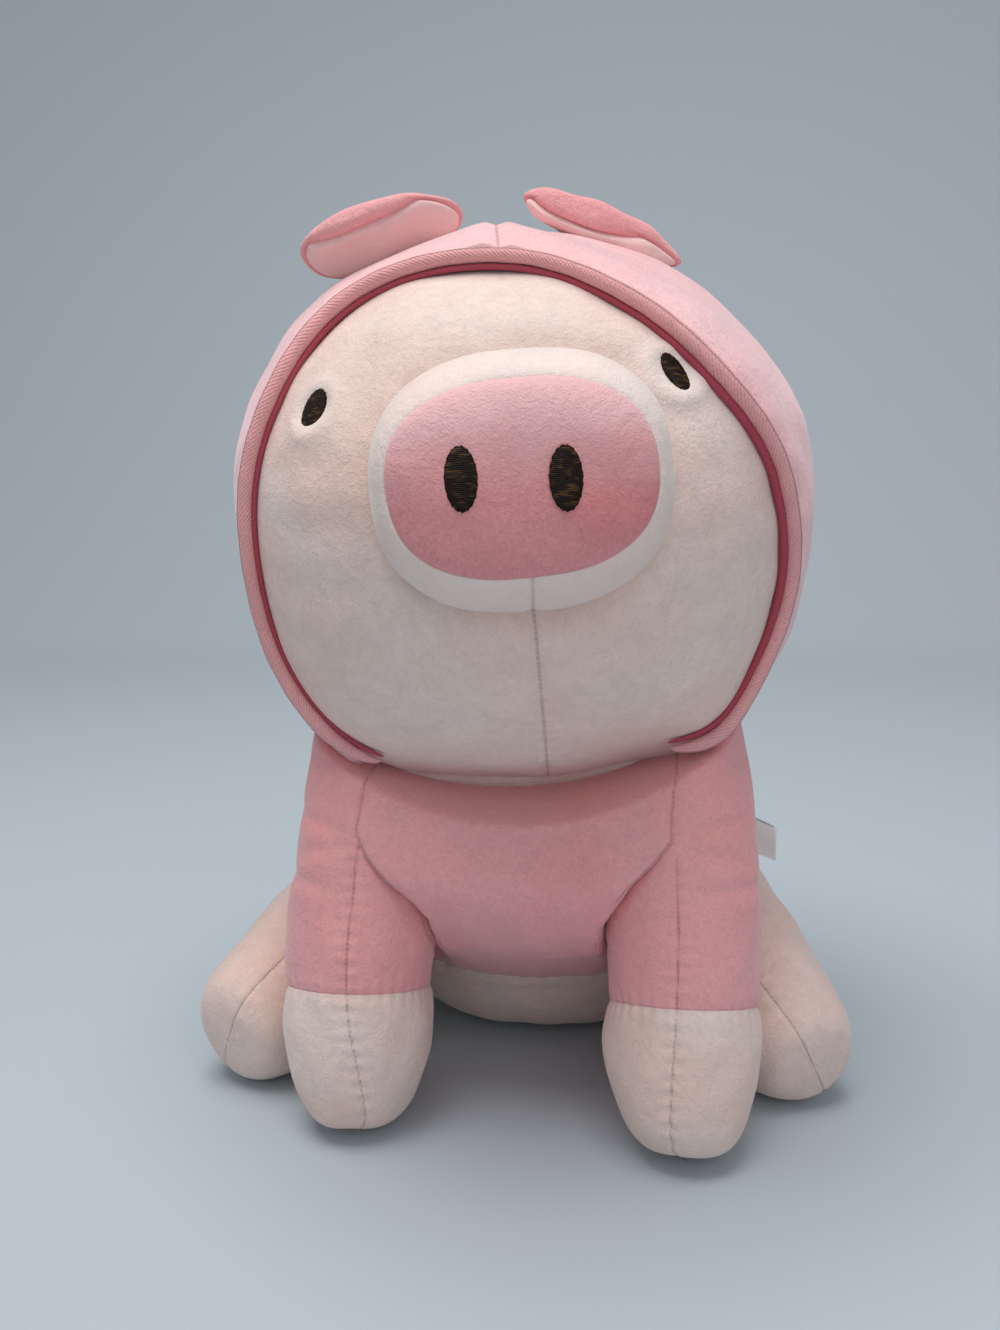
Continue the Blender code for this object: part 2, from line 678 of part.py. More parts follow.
def make_ears(head_pivot):
    grown = ball_form(HOOD_GROWTH, HEM_RADIUS)
    hood_cutter = as_cutter(solid_of("ear_seat", grown, HEAD_SIDES, WHITE, -SEAM_GAP))
    for hand in (LEFT, RIGHT):
        side = SIDE_NAMES[hand]
        base, normal = head_place(hand * EAR_SIDE, EAR_BACK, None, HOOD_GROWTH)
        across = normal.cross(Vector((0, 1, 0))).normalized()
        spine = []
        for rise_share, curl_share, sway_share in zip(EAR_RISE_SHARES, EAR_CURL_SHARES, EAR_SWAY_SHARES):
            height = (EAR_RISES[hand] + EAR_ROOT) * rise_share - EAR_ROOT
            flop = Vector((-EAR_SWAYS[hand] * sway_share, -EAR_CURLS[hand] * curl_share, 0))
            spine.append(base + normal * height + flop)
        form = make_form(
            spine,
            EAR_HALF_WIDTH,
            EAR_HALF_THICKNESS,
            EAR_WIDTH_SHARES,
            EVEN_SHARES,
            EAR_BLUNT,
            across,
            EAR_RINGS,
        )
        back = lofted("ear_back_" + side, pocketed_rings(form), PINK)
        lining = lofted("ear_lining_" + side, lining_rings(form), PALE_PINK, flat_ends=True)
        ahead = turned_copy(hood_cutter, "ear_ahead_" + side, base, across, EAR_FORWARD_DEG)
        behind = turned_copy(hood_cutter, "ear_behind_" + side, base, across, -EAR_BACKWARD_DEG)
        cut(back, hood_cutter, ahead, behind)
        cut(lining, hood_cutter, ahead, behind)
        hinge = add_pivot("ear_hinge_" + side, base)
        carry(hinge, back, lining)
        carry(head_pivot, ahead, behind, hinge)
        bpy.context.view_layer.update()
        print("ear hinge", side, tuple(hinge.matrix_world.translation), tuple(hinge.matrix_world.to_3x3() @ -across))
    carry(head_pivot, hood_cutter)


def body_form():
    spine = []
    for i, share in enumerate(BODY_LEAN_SHARES):
        height = BODY_HEIGHT * i / (len(BODY_LEAN_SHARES) - 1)
        spine.append((0, -BODY_LEAN * share, height))
    form = make_form(
        spine,
        BODY_HALF_WIDTH,
        BODY_HALF_DEPTH,
        BODY_WIDTH_SHARES,
        BODY_DEPTH_SHARES,
        BODY_BLUNT,
        (1, 0, 0),
        BODY_RINGS,
        level=True,
    )
    form["seam"] = SEAT_SEAM_HEIGHT / BODY_HEIGHT
    return settled(form, BODY_SIDES)


def front_leg_form(hand):
    shoulder = Vector((hand * SHOULDER_SIDE, -SHOULDER_FORWARD, FRONT_LEG_LENGTH))
    paw = Vector((hand * PAW_SIDE, -PAWS_FORWARD[hand], 0))
    middle = (shoulder + paw) / 2
    form = make_form(
        (shoulder, middle, paw),
        FRONT_LEG_HALF_WIDTH,
        FRONT_LEG_HALF_DEPTH,
        FRONT_LEG_WIDTH_SHARES,
        FRONT_LEG_DEPTH_SHARES,
        FRONT_LEG_BLUNT,
        (1, 0, 0),
        LEG_RINGS,
    )
    form["seam"] = 1 - CUFF_HEIGHT / FRONT_LEG_LENGTH
    return settled(form, LEG_SIDES)


def hind_leg_form(hand):
    hip = Vector((hand * HIP_SIDE, HIP_BACK, HIP_HEIGHT))
    foot = Vector((hand * FOOT_SIDE, -FOOT_FORWARD, FOOT_HEIGHT))
    middle = (hip + foot) / 2
    along = (foot - hip).normalized()
    across = along.cross(Vector((0, 0, 1))).normalized()
    form = make_form(
        (hip, middle, foot),
        HIND_LEG_HALF_WIDTH,
        HIND_LEG_HALF_DEPTH,
        HIND_LEG_WIDTH_SHARES,
        HIND_LEG_DEPTH_SHARES,
        HIND_LEG_BLUNT,
        across,
        LEG_RINGS,
    )
    return settled(form, LEG_SIDES)


def make_body_and_legs(head_pivot):
    form = body_form()
    reach = FOOT_SIDE + FOOT_FORWARD + BODY_HALF_DEPTH
    floor = box_cutter("floor", (-reach, -reach, -reach), (reach, reach, 0))
    head_form = ball_form(HOOD_GROWTH, HEM_RADIUS)
    head_cutter = as_cutter(solid_of("head_seat", head_form, 2 * HEAD_SIDES, WHITE, -NECK_GAP))
    carry(head_pivot, head_cutter)
    hem_room = HEM_RADIUS - HOOD_CLOTH / 2 + NECK_GAP
    hem_cutter = as_cutter(solid_of("hem_seat", head_form, 2 * HEAD_SIDES, WHITE, -hem_room))
    carry(head_pivot, hem_cutter)
    body_cutter = as_cutter(solid_of("body_seat", form, BODY_SIDES, WHITE, -SEAM_GAP))
    seat = first_panel("seat_panel", form, BODY_SIDES, CREAM, CLOTH)
    suit = second_panel("suit_body", form, BODY_SIDES, PINK, CLOTH, SEAM_GAP)
    filling = solid_of("body_filling", form, BODY_SIDES, FIBRE, CLOTH + SEAM_GAP)
    cut(seat, floor)
    cut(suit, head_cutter)
    cut(filling, head_cutter)
    for hand in (LEFT, RIGHT):
        side = SIDE_NAMES[hand]
        leg = front_leg_form(hand)
        sleeve = first_panel("sleeve_" + side, leg, LEG_SIDES, PINK, CLOTH)
        paw = second_panel("paw_" + side, leg, LEG_SIDES, CREAM, CLOTH, SEAM_GAP)
        stuffing = solid_of("front_leg_filling_" + side, leg, LEG_SIDES, FIBRE, CLOTH + SEAM_GAP)
        pivot = Vector((hand * SHOULDER_SIDE, -SHOULDER_FORWARD, FRONT_LEG_LENGTH - SHOULDER_DROP))
        swung = turned_copy(hem_cutter, "hem_swung_" + side, pivot, (1, 0, 0), FRONT_LEG_SWING_DEG)
        turned = turned_copy(body_cutter, "body_turned_" + side, pivot, (1, 0, 0), FRONT_LEG_SWING_DEG)
        cut(sleeve, body_cutter, turned, hem_cutter, swung)
        cut(stuffing, body_cutter, turned, hem_cutter, swung)
        cut(paw, body_cutter, floor)
        shoulder = add_pivot("shoulder_" + side, pivot)
        carry(shoulder, sleeve, paw, stuffing)
        print("shoulder hinge", side, tuple(pivot))

        hind = hind_leg_form(hand)
        cover = solid_of("hind_leg_" + side, hind, LEG_SIDES, CREAM)
        core = solid_of("hind_leg_filling_" + side, hind, LEG_SIDES, FIBRE, CLOTH + SEAM_GAP)
        hollow = as_cutter(solid_of("hind_hollow_" + side, hind, LEG_SIDES, WHITE, CLOTH))
        beside = as_cutter(solid_of("beside_leg_" + side, leg, LEG_SIDES, WHITE, -SEAM_GAP))
        beside_wall = as_cutter(solid_of("beside_wall_" + side, leg, LEG_SIDES, WHITE, -SEAM_GAP - CLOTH))
        beside_core = as_cutter(solid_of("beside_core_" + side, leg, LEG_SIDES, WHITE, -2 * SEAM_GAP - CLOTH))
        cut(hollow, beside_wall)
        hip = Vector((hand * HIP_SIDE, HIP_BACK, 0))
        swing = -hand * HIND_LEG_SWING_DEG
        swung_body = turned_copy(body_cutter, "body_swung_" + side, hip, (0, 0, 1), swing)
        cut(cover, hollow, beside, body_cutter, swung_body, floor)
        cut(core, beside_core, body_cutter, swung_body)
        hip_pivot = add_pivot("hip_" + side, hip)
        carry(hip_pivot, cover, core)
        print("hip hinge", side, tuple(hip))
    make_tail(form, body_cutter)
    make_label(form)


def body_back_at(form, height):
    """How far back the body reaches at this height."""
    share = height / form["spine"][-1][2]
    along = np.array([share])
    centre = smooth_at(form["spine"], along)[0]
    turn = math.acos(1 - 2 * share)
    blunt = form["blunt"][0] + (form["blunt"][1] - form["blunt"][0]) * share
    rounding = math.sin(turn) ** blunt
    depth = form["half_depth"] * smooth_at(form["depth_shares"], along)[0] * rounding
    width = form["half_width"] * smooth_at(form["width_shares"], along)[0] * rounding
    return centre[1], depth, width


def make_tail(form, body_cutter):
    """A short curled tail: one turn of a helix that grows out of the back."""
    centre_y, depth, _ = body_back_at(form, TAIL_HEIGHT)
    back = centre_y + depth
    path = []
    for step in range(TAIL_STEPS + 1):
        share = step / TAIL_STEPS
        angle = math.tau * TAIL_TURNS * share
        reach = back - TAIL_RADIUS + TAIL_REACH * share
        grow = min(1.0, share / TAIL_GROWTH_SHARE)
        x = TAIL_COIL_RADIUS * grow * math.sin(angle)
        z = TAIL_HEIGHT + TAIL_COIL_RADIUS * grow * (1 - math.cos(angle))
        path.append(Vector((x, reach, z)))
    loops = []
    for step, centre in enumerate(path):
        angle = math.tau * TAIL_TURNS * step / TAIL_STEPS
        outward = Vector((math.sin(angle), 0, -math.cos(angle)))
        tangent = (path[min(step + 1, TAIL_STEPS)] - path[max(step - 1, 0)]).normalized()
        side = tangent.cross(outward).normalized()
        up = side.cross(tangent)
        taper = 1 - TAIL_TAPER_SHARE * step / TAIL_STEPS
        ring = []
        for i in range(HEM_SIDES):
            turn = math.tau * i / HEM_SIDES
            ring.append(centre + TAIL_RADIUS * taper * (math.cos(turn) * side + math.sin(turn) * up))
        loops.append(ring)
    tail = lofted("tail", [[path[0]]] + loops + [[path[-1]]], PINK)
    cut(tail, body_cutter)


def make_label(form):
    """A blank folded label that stands out of the body's left side seam."""
    centre_y, _, width = body_back_at(form, LABEL_HEIGHT)
    x = width + SEAM_GAP
    y = centre_y + LABEL_BACK
    low = (x, y, LABEL_HEIGHT - LABEL_WIDTH / 2)
    high = (x + LABEL_LENGTH, y + LABEL_THICKNESS, LABEL_HEIGHT + LABEL_WIDTH / 2)
    corners = [(a, b, c) for c in (low[2], high[2]) for b in (low[1], high[1]) for a in (low[0], high[0])]
    sides = [(0, 2, 3, 1), (4, 5, 7, 6), (0, 1, 5, 4), (2, 6, 7, 3), (0, 4, 6, 2), (1, 3, 7, 5)]
    mesh = bpy.data.meshes.new("side_label")
    mesh.from_pydata(corners, [], sides)
    add_object("side_label", mesh, WHITE)


def turn_head(head_pivot):
    """Leans the head towards the pig's right, and turns it towards the pig's left."""
    lean = -math.radians(HEAD_LEAN_DEG)
    turn = math.radians(HEAD_TURN_DEG)
    head_pivot.rotation_euler = (0, lean, turn)
    bpy.context.view_layer.update()
    axis = head_pivot.matrix_world.to_3x3() @ Vector((1, 0, 0))
    print("head hinge", tuple(head_pivot.location), tuple(axis))


clear_scene()
head = add_pivot("head_pivot", HEAD_CENTRE)
turn_head(head)
make_head(head)
make_hood(head)
make_ears(head)
make_body_and_legs(head)
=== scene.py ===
import json
import math
import bpy
import numpy as np
from mathutils import Matrix, Vector


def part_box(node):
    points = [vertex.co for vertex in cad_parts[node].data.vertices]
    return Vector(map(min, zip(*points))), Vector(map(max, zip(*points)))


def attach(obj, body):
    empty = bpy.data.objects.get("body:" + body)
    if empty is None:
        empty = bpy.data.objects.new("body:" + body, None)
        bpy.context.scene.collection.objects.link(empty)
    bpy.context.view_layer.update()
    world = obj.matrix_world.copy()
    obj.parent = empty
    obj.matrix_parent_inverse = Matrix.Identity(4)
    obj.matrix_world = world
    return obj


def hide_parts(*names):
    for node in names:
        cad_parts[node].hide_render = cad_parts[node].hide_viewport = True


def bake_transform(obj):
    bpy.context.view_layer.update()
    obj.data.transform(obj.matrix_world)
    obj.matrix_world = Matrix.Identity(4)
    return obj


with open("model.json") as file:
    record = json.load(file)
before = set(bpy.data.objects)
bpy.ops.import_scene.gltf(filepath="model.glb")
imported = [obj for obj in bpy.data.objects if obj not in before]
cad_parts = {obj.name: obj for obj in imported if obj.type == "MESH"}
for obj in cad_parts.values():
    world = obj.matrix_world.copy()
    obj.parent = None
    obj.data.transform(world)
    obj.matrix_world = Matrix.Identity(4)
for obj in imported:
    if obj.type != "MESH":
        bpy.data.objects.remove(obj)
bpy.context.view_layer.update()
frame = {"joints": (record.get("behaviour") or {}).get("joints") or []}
joints = {joint["name"]: joint for joint in frame["joints"]}
leftSide, rightSide = 1, -1  # the pig's own left is +X
sideNames = {leftSide: "left", rightSide: "right"}
print("frame loaded")


# Small tools for surfaces

# A value between evenly spaced ones, on a cubic that passes through all of them.
def smoothAt(values, share):
    known = np.array(values, float)
    last = len(known) - 1
    padded = np.concatenate([[2 * known[0] - known[1]], known, [2 * known[-1] - known[-2]]])
    place = np.asarray(share, float) * last
    first = np.clip(np.floor(place).astype(int), 0, last - 1)
    t = place - first
    if known.ndim > 1:
        t = t[..., None]
    a, b, c, d = (padded[first + k] for k in range(4))
    return b + 0.5 * t * (c - a + t * (2 * a - 5 * b + 4 * c - d + t * (3 * (b - c) + d - a)))


# 0 below low, 1 above high, and an even S-curve between them.
def ease(low, high, value):
    t = np.clip((value - low) / (high - low), 0, 1)
    return t * t * (3 - 2 * t)


# A hump of height 1 at zero that falls away over about width.
def hump(distance, width):
    return np.exp(-((distance / width) ** 2))


# A hump with the height, the distance of its crest and the width that shape names.
def raised(shape, distance):
    height, crest, width = shape
    return height * hump(distance - crest, width)


# Stitches that pull at a seam: a sine wave along its run, one crest each pitch, that dies away beside it.
def puckered(shape, run, gap, phase=0.0):
    height, pitch, width = shape
    return height * np.sin(run * 2 * math.pi / pitch + phase) * hump(gap, width)


# Directions of length 1: each vector divided by its own length.
def unit(vectors):
    return vectors / np.maximum(np.linalg.norm(vectors, axis=-1), 1e-12)[..., None]


# Even steps round a full turn.
def roundTurn(count, start=0.0):
    return start + np.arange(count) * 2 * math.pi / count


# The size of an angle, brought between nothing and half a turn.
def turnSize(angle):
    return np.abs(np.angle(np.exp(1j * angle)))


# How far along a line each of its points lies: the sum of the steps up to it.
def lengthAlong(line):
    return np.concatenate([[0], np.cumsum(np.linalg.norm(np.diff(line, axis=0), axis=1))])


# Soft unevenness of about -1 to 1: six sine waves of unlike direction, about size apart.
def unevenness(points, size, seed):
    chance = np.random.default_rng(seed)
    waves = chance.normal(size=(6, 3))
    waves *= 2 * math.pi / size / np.linalg.norm(waves, axis=1)[:, None]
    phases = chance.uniform(0, 2 * math.pi, 6)
    return np.sin(points @ waves.T + phases).sum(-1) / 3


# Several kinds of unevenness added up, each with its height, size and seed. A hand shifts the seeds.
def lumps(points, kinds, hand=0):
    return sum(height * unevenness(points, size, seed + hand) for height, size, seed in kinds)


# Normals of a grid of points: the cross product of its two directions, turned away from middle.
def gridNormals(grid, middle):
    along = np.roll(grid, -1, axis=1) - np.roll(grid, 1, axis=1)
    normals = unit(np.cross(np.gradient(grid, axis=0), along))
    return normals if np.mean(np.sum(normals * (grid - middle), axis=-1)) >= 0 else -normals


# A mesh over a grid whose rows are rings: a quad between each four neighbours. Each end closes on
# a pole or is left open, and values holds one number per grid point for each named attribute.
def ringMesh(name, grid, poles=(None, None), wrap=True, **values):
    rows, cols = grid.shape[:2]
    points = grid.reshape(-1, 3)
    index = np.arange(rows * cols).reshape(rows, cols)
    beside = np.roll(index, -1, axis=1) if wrap else index[:, 1:]
    here = index if wrap else index[:, :-1]
    quads = np.stack([here[:-1], beside[:-1], beside[1:], here[1:]], -1).reshape(-1, 4)
    fans = []
    for pole, ring, flip in ((poles[0], index[0], True), (poles[1], index[-1], False)):
        if pole is not None:
            tip = len(points)
            points = np.vstack([points, np.asarray(pole, float)])
            after = np.roll(ring, -1)
            pair = (after, ring) if flip else (ring, after)
            fans.append(np.stack([pair[0], pair[1], np.full(cols, tip)], -1))
    fans = np.concatenate(fans) if fans else np.zeros((0, 3), int)
    solid = np.concatenate([quads[:, [0, 1, 2]], quads[:, [0, 2, 3]], fans])
    a, b, c = (points[solid[:, k]] - points.mean(0) for k in range(3))
    if np.sum(a * np.cross(b, c)) < 0:
        quads, fans = quads[:, ::-1], fans[:, ::-1]
    corners = np.concatenate([quads.ravel(), fans.ravel()])
    sizes = np.concatenate([np.full(len(quads), 4), np.full(len(fans), 3)])
    mesh = bpy.data.meshes.new(name)
    mesh.vertices.add(len(points))
    mesh.vertices.foreach_set("co", points.astype(np.float32).ravel())
    mesh.loops.add(len(corners))
    mesh.loops.foreach_set("vertex_index", corners.astype(np.int32))
    mesh.polygons.add(len(sizes))
    mesh.polygons.foreach_set("loop_start", np.concatenate([[0], np.cumsum(sizes)[:-1]]).astype(np.int32))
    mesh.update(calc_edges=True)
    mesh.validate()
    mesh.shade_smooth()
    for key, numbers in values.items():
        flat = np.asarray(numbers, float).reshape(-1)
        flat = np.concatenate([flat, np.full(len(points) - len(flat), flat[-1])])
        mesh.attributes.new(key, "FLOAT", "POINT").data.foreach_set("value", flat.astype(np.float32))
    piece = bpy.data.objects.new(name, mesh)
    bpy.context.scene.collection.objects.link(piece)
    return piece


# Two meshes that meet at a row of one grid, where both close on the mean of that row.
def splitMesh(names, grid, row, poles, **values):
    middle = grid[row].mean(0)
    first = {key: numbers[: row + 1] for key, numbers in values.items()}
    second = {key: numbers[row:] for key, numbers in values.items()}
    return (
        ringMesh(names[0], grid[: row + 1], (poles[0], middle), **first),
        ringMesh(names[1], grid[row:], (middle, poles[1]), **second),
    )


# Hands a finished piece over to the frame: its material, its body and the nodes that it stands for.
def dress(piece, material, body, nodes):
    piece.data.materials.clear()
    piece.data.materials.append(material)
    if body:
        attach(piece, body)
    if nodes:
        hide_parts(*nodes)
    return piece


# Shader tools

# One socket of a node tree. Sums on it add Math nodes, and grow adds any other node.
class Wire:
    def __init__(self, tree, socket=None):
        self.tree = tree
        self.socket = socket

    def grow(self, kind, settings=None, sockets=None, output=0):
        node = self.tree.nodes.new(kind)
        for key, value in (settings or {}).items():
            setattr(node, key, value)
        for key, value in (sockets or {}).items():
            if isinstance(value, Wire):
                self.tree.links.new(value.socket, node.inputs[key])
            elif node.inputs[key].type == "RGBA":
                node.inputs[key].default_value = (*value, 1)
            else:
                node.inputs[key].default_value = value
        return Wire(self.tree, node.outputs[output])

    def sums(self, operation, *values):
        return self.grow("ShaderNodeMath", {"operation": operation}, dict(enumerate(values)))

    # The sine of the wire, one crest each pitch.
    def sine(self, pitch):
        turns = self * (2 * math.pi / pitch)
        return turns.sums("SINE", turns)

    # The same wave brought between 0 and 1: half of it, plus a half.
    def wave(self, pitch):
        return self.sine(pitch) * 0.5 + 0.5

    def __add__(self, other):
        return self.sums("ADD", self, other)

    def __radd__(self, other):
        return self.sums("ADD", other, self)

    def __sub__(self, other):
        return self.sums("SUBTRACT", self, other)

    def __rsub__(self, other):
        return self.sums("SUBTRACT", other, self)

    def __mul__(self, other):
        return self.sums("MULTIPLY", self, other)

    def __rmul__(self, other):
        return self.sums("MULTIPLY", other, self)

    def __truediv__(self, other):
        return self.sums("DIVIDE", self, other)

    def __rtruediv__(self, other):
        return self.sums("DIVIDE", other, self)

    def __pow__(self, other):
        return self.sums("POWER", self, other)


# A new material with its tree, its Principled shader and the piece's own coordinates.
def newMaterial(name, look):
    material = bpy.data.materials.new(name)
    material.use_nodes = True
    shader = material.node_tree.nodes["Principled BSDF"]
    shader.inputs["Roughness"].default_value = look["roughness"]
    shader.inputs["Metallic"].default_value = 0.0
    shader.inputs["Specular IOR Level"].default_value = look.get("specular", 0.3)
    shader.inputs["Sheen Weight"].default_value = look.get("sheen", 0.0)
    shader.inputs["Sheen Roughness"].default_value = look.get("sheenRoughness", 0.5)
    shader.inputs["Sheen Tint"].default_value = (*look.get("sheenTint", (1, 1, 1)), 1)
    start = Wire(material.node_tree)
    return material, shader, start, start.grow("ShaderNodeTexCoord", output="Object")


# Noise of about the given feature size in metres, from 0 to 1: its scale is 1 over the size.
def grain(place, size, detail=2.0, distortion=0.0, stretch=None):
    if stretch:
        place = place.grow("ShaderNodeMapping", {}, {"Vector": place, "Scale": stretch})
    return place.grow(
        "ShaderNodeTexNoise", {}, {"Vector": place, "Scale": 1 / size, "Detail": detail, "Distortion": distortion}
    )


# A number that the piece carries at each point.
def carried(start, name):
    return start.grow("ShaderNodeAttribute", {"attribute_name": name}, output="Fac")


# A hump of height 1 where the wire is zero, width across, as 1 / (1 + (x / width)^4).
def wireHump(wire, width):
    return 1 / (1 + (wire / width) ** 4)


# Two colours mixed by a factor, or the first multiplied by the second.
def mixed(factor, first, second, blend="MIX"):
    source = factor if isinstance(factor, Wire) else first
    settings = {"data_type": "RGBA", "blend_type": blend}
    return source.grow("ShaderNodeMix", settings, {0: factor, 6: first, 7: second}, output=2)


# A colour times a tone: the tone is made a grey, and the two are multiplied.
def tinted(tone, colour):
    grey = tone.grow("ShaderNodeCombineColor", {}, {0: tone, 1: tone, 2: tone})
    return mixed(1.0, grey, colour, "MULTIPLY")


# One link, from a wire to a socket of the shader.
def linkTo(shader, socket, wire):
    wire.tree.links.new(wire.socket, shader.inputs[socket])


# A bump whose height is in metres.
def bumpOn(shader, height, strength=1.0):
    sockets = {"Strength": strength, "Distance": 1.0, "Height": height}
    linkTo(shader, "Normal", height.grow("ShaderNodeBump", {}, sockets, output="Normal"))


# Short-pile cloth: fibre tips as fine noise, pile that lies one way or the other in soft patches,
# and sewn seams where the carried seamGap is near zero, with a needle hole each stitch of seamRun,
# both darkened as painted shade in their grooves.
def plushMaterial(name, cloth):
    material, shader, start, place = newMaterial(name, cloth)
    tips = grain(place, cloth["tipSize"], 3.0)
    tufts = grain(place, cloth["tuftSize"], 2.0, 0.6)
    nap = grain(place, cloth["napSize"], 3.0, 1.2)
    patches = grain(place, cloth["patchSize"], 2.0, 0.8)
    line = wireHump(carried(start, "seamGap"), cloth["seamWidth"])
    holes = carried(start, "seamRun").wave(cloth["stitch"])
    worn = 1
    for noise, key in ((tips, "tipTone"), (tufts, "tuftTone"), (nap, "napTone"), (patches, "patchTone")):
        worn = worn + (noise - 0.5) * cloth[key]
    # Painted shade: the seam line and its needle holes are darkened, and tinted towards the darker seam colour, as the
    # shade in their grooves.
    tone = worn * (1 - line * (cloth["seamPaintedShade"] + holes * cloth["holePaintedShade"]))
    warm = mixed((patches - cloth["warmFrom"]) * cloth["warmGain"], cloth["colour"], cloth["warmColour"])
    deep = mixed(line * cloth["seamShadeMix"], tinted(tone, warm), cloth["seamShadeColour"])
    # The carried paler share mixes in the pale colour: painted light on the snout's ring and on the top of its front,
    # and a paler halo near the eyes.
    linkTo(shader, "Base Color", mixed(carried(start, "paler"), deep, cloth["paleColour"]))
    linkTo(shader, "Roughness", cloth["roughness"] + (nap - 0.5) * cloth["napShine"])
    pile = tips * cloth["tipDepth"] + tufts * cloth["tuftDepth"] + nap * cloth["napDepth"]
    bumpOn(shader, pile - line * (cloth["seamDepth"] + holes * (cloth["seamDepth"] / 2)))
    return material


# Knitted edge: pile whose ribs run slantwise over a roll, as a wave of its own along and around.
def hemMaterial(name, cloth):
    material, shader, start, place = newMaterial(name, cloth)
    slanted = carried(start, "seamRun") + carried(start, "around") * cloth["slant"]
    rows = slanted.wave(cloth["rib"])
    tips = grain(place, cloth["tipSize"], 3.0)
    nap = grain(place, cloth["napSize"], 3.0, 1.2)
    worn = 1 + (tips - 0.5) * cloth["tipTone"] + (nap - 0.5) * cloth["napTone"]
    linkTo(shader, "Base Color", tinted((cloth["ribFloor"] + rows * cloth["ribTone"]) * worn, cloth["colour"]))
    bumpOn(shader, rows * cloth["ribDepth"] + tips * cloth["tipDepth"])
    return material


# Sizes and depths are in metres, tones are shares of the colour.
plush = {
    "specular": 0.2, "tipSize": 0.0008, "seamWidth": 0.00045, "stitch": 0.0021, "seamPaintedShade": 0.05, "holePaintedShade": 0.16,
    "seamDepth": 0.0003, "seamShadeMix": 0.25, "warmFrom": 0.38, "warmGain": 3.5, "napShine": 0.18,
}
pink = dict(
    plush, colour=(0.85, 0.40, 0.405), warmColour=(0.83, 0.36, 0.365), seamShadeColour=(0.45, 0.13, 0.15),
    paleColour=(0.93, 0.62, 0.62), roughness=0.92, sheen=0.45, sheenRoughness=0.42, sheenTint=(1.0, 0.86, 0.88),
    tuftSize=0.0024, napSize=0.011, patchSize=0.06, tipTone=0.36, tuftTone=0.20, napTone=0.14, patchTone=0.14,
    tipDepth=0.0003, tuftDepth=0.0004, napDepth=0.0007,
)
cream = dict(
    plush, colour=(0.83, 0.67, 0.61), warmColour=(0.80, 0.59, 0.52), seamShadeColour=(0.50, 0.38, 0.34),
    paleColour=(0.92, 0.84, 0.80), roughness=0.90, sheen=0.40, sheenRoughness=0.40, sheenTint=(1.0, 0.93, 0.90),
    tuftSize=0.0026, napSize=0.012, patchSize=0.07, tipTone=0.28, tuftTone=0.16, napTone=0.22, patchTone=0.18,
    tipDepth=0.00028, tuftDepth=0.00035, napDepth=0.0006,
)
hoodPink = dict(pink, colour=(0.93, 0.59, 0.60), warmColour=(0.91, 0.52, 0.53), sheen=0.7)
# The snout front's own deeper pink, made darker still as painted shade for its lower part; its top is painted paler.
snoutPink = dict(
    pink, colour=(0.77, 0.31, 0.315), warmColour=(0.71, 0.25, 0.26), tuftSize=0.0018, sheen=0.6,
    tipTone=0.44, tuftTone=0.30, tipDepth=0.0004, tuftDepth=0.0003,
)
lining = dict(
    pink, colour=(0.88, 0.56, 0.55), warmColour=(0.90, 0.60, 0.58), roughness=0.62, sheen=0.7,
    sheenRoughness=0.3, tipDepth=0.0001, tuftDepth=0.0001, tipTone=0.06, tuftTone=0.05,
)
hemPink = dict(
    pink, colour=(0.96, 0.46, 0.46), slant=1.2, rib=0.0020, ribFloor=0.80, ribTone=0.14, ribDepth=0.00022,
    tipTone=0.35, napTone=0.15, tipDepth=0.0005,
)
# The facing tape's dark raspberry is partly its own colour and partly painted shade in the gap between the hem and the
# face.
tapePink = dict(
    hemPink, colour=(0.50, 0.085, 0.12), sheen=0.05, slant=0.0, rib=0.0008, ribTone=0.10, ribDepth=0.0001,
    tipDepth=0.0001,
)
pinkPlush = plushMaterial("pinkPlush", pink)
hoodPlush = plushMaterial("hoodPlush", hoodPink)
creamPlush = plushMaterial("creamPlush", cream)
snoutPlush = plushMaterial("snoutPlush", snoutPink)
liningCloth = plushMaterial("liningCloth", lining)
hemPlush = hemMaterial("hemPlush", hemPink)
hemTape = hemMaterial("hemTape", tapePink)


# Satin stitch: threads lie across the patch as a wave, one each pitch, and wobble a little,
# with painted highlights: brown glints where noise above a level meets a thread's crest.
def threadMaterial(name, thread):
    material, shader, start, place = newMaterial(name, thread)
    strands = carried(start, "seamRun") + grain(place, thread["wobbleSize"]) * thread["wobble"]
    rows = strands.wave(thread["pitch"])
    flecks = grain(place, thread["fleckSize"], 3.0, 0.0, thread["fleckStretch"])
    glint = (flecks - thread["glintFrom"]) * thread["glintGain"]
    # Painted highlights on the thread crests, mixed over the dark thread colour.
    amount = rows * start.sums("MAXIMUM", glint, 0.0)
    linkTo(shader, "Base Color", mixed(start.sums("MINIMUM", amount, 1.0), thread["dark"], thread["glint"]))
    linkTo(shader, "Roughness", thread["roughness"] - rows * thread["rowShine"])
    bumpOn(shader, rows * thread["depth"] + flecks * thread["fleckDepth"])
    return material


thread = {
    "dark": (0.013, 0.0065, 0.004), "glint": (0.15, 0.075, 0.025), "roughness": 0.55, "rowShine": 0.15,
    "specular": 0.08, "pitch": 0.00062, "depth": 0.00022, "wobbleSize": 0.004, "wobble": 0.0009,
    "fleckSize": 0.0012, "fleckStretch": (0.35, 0.35, 1.0), "fleckDepth": 0.0003, "glintFrom": 0.52, "glintGain": 7.0,
}
brownThread = threadMaterial("brownThread", thread)


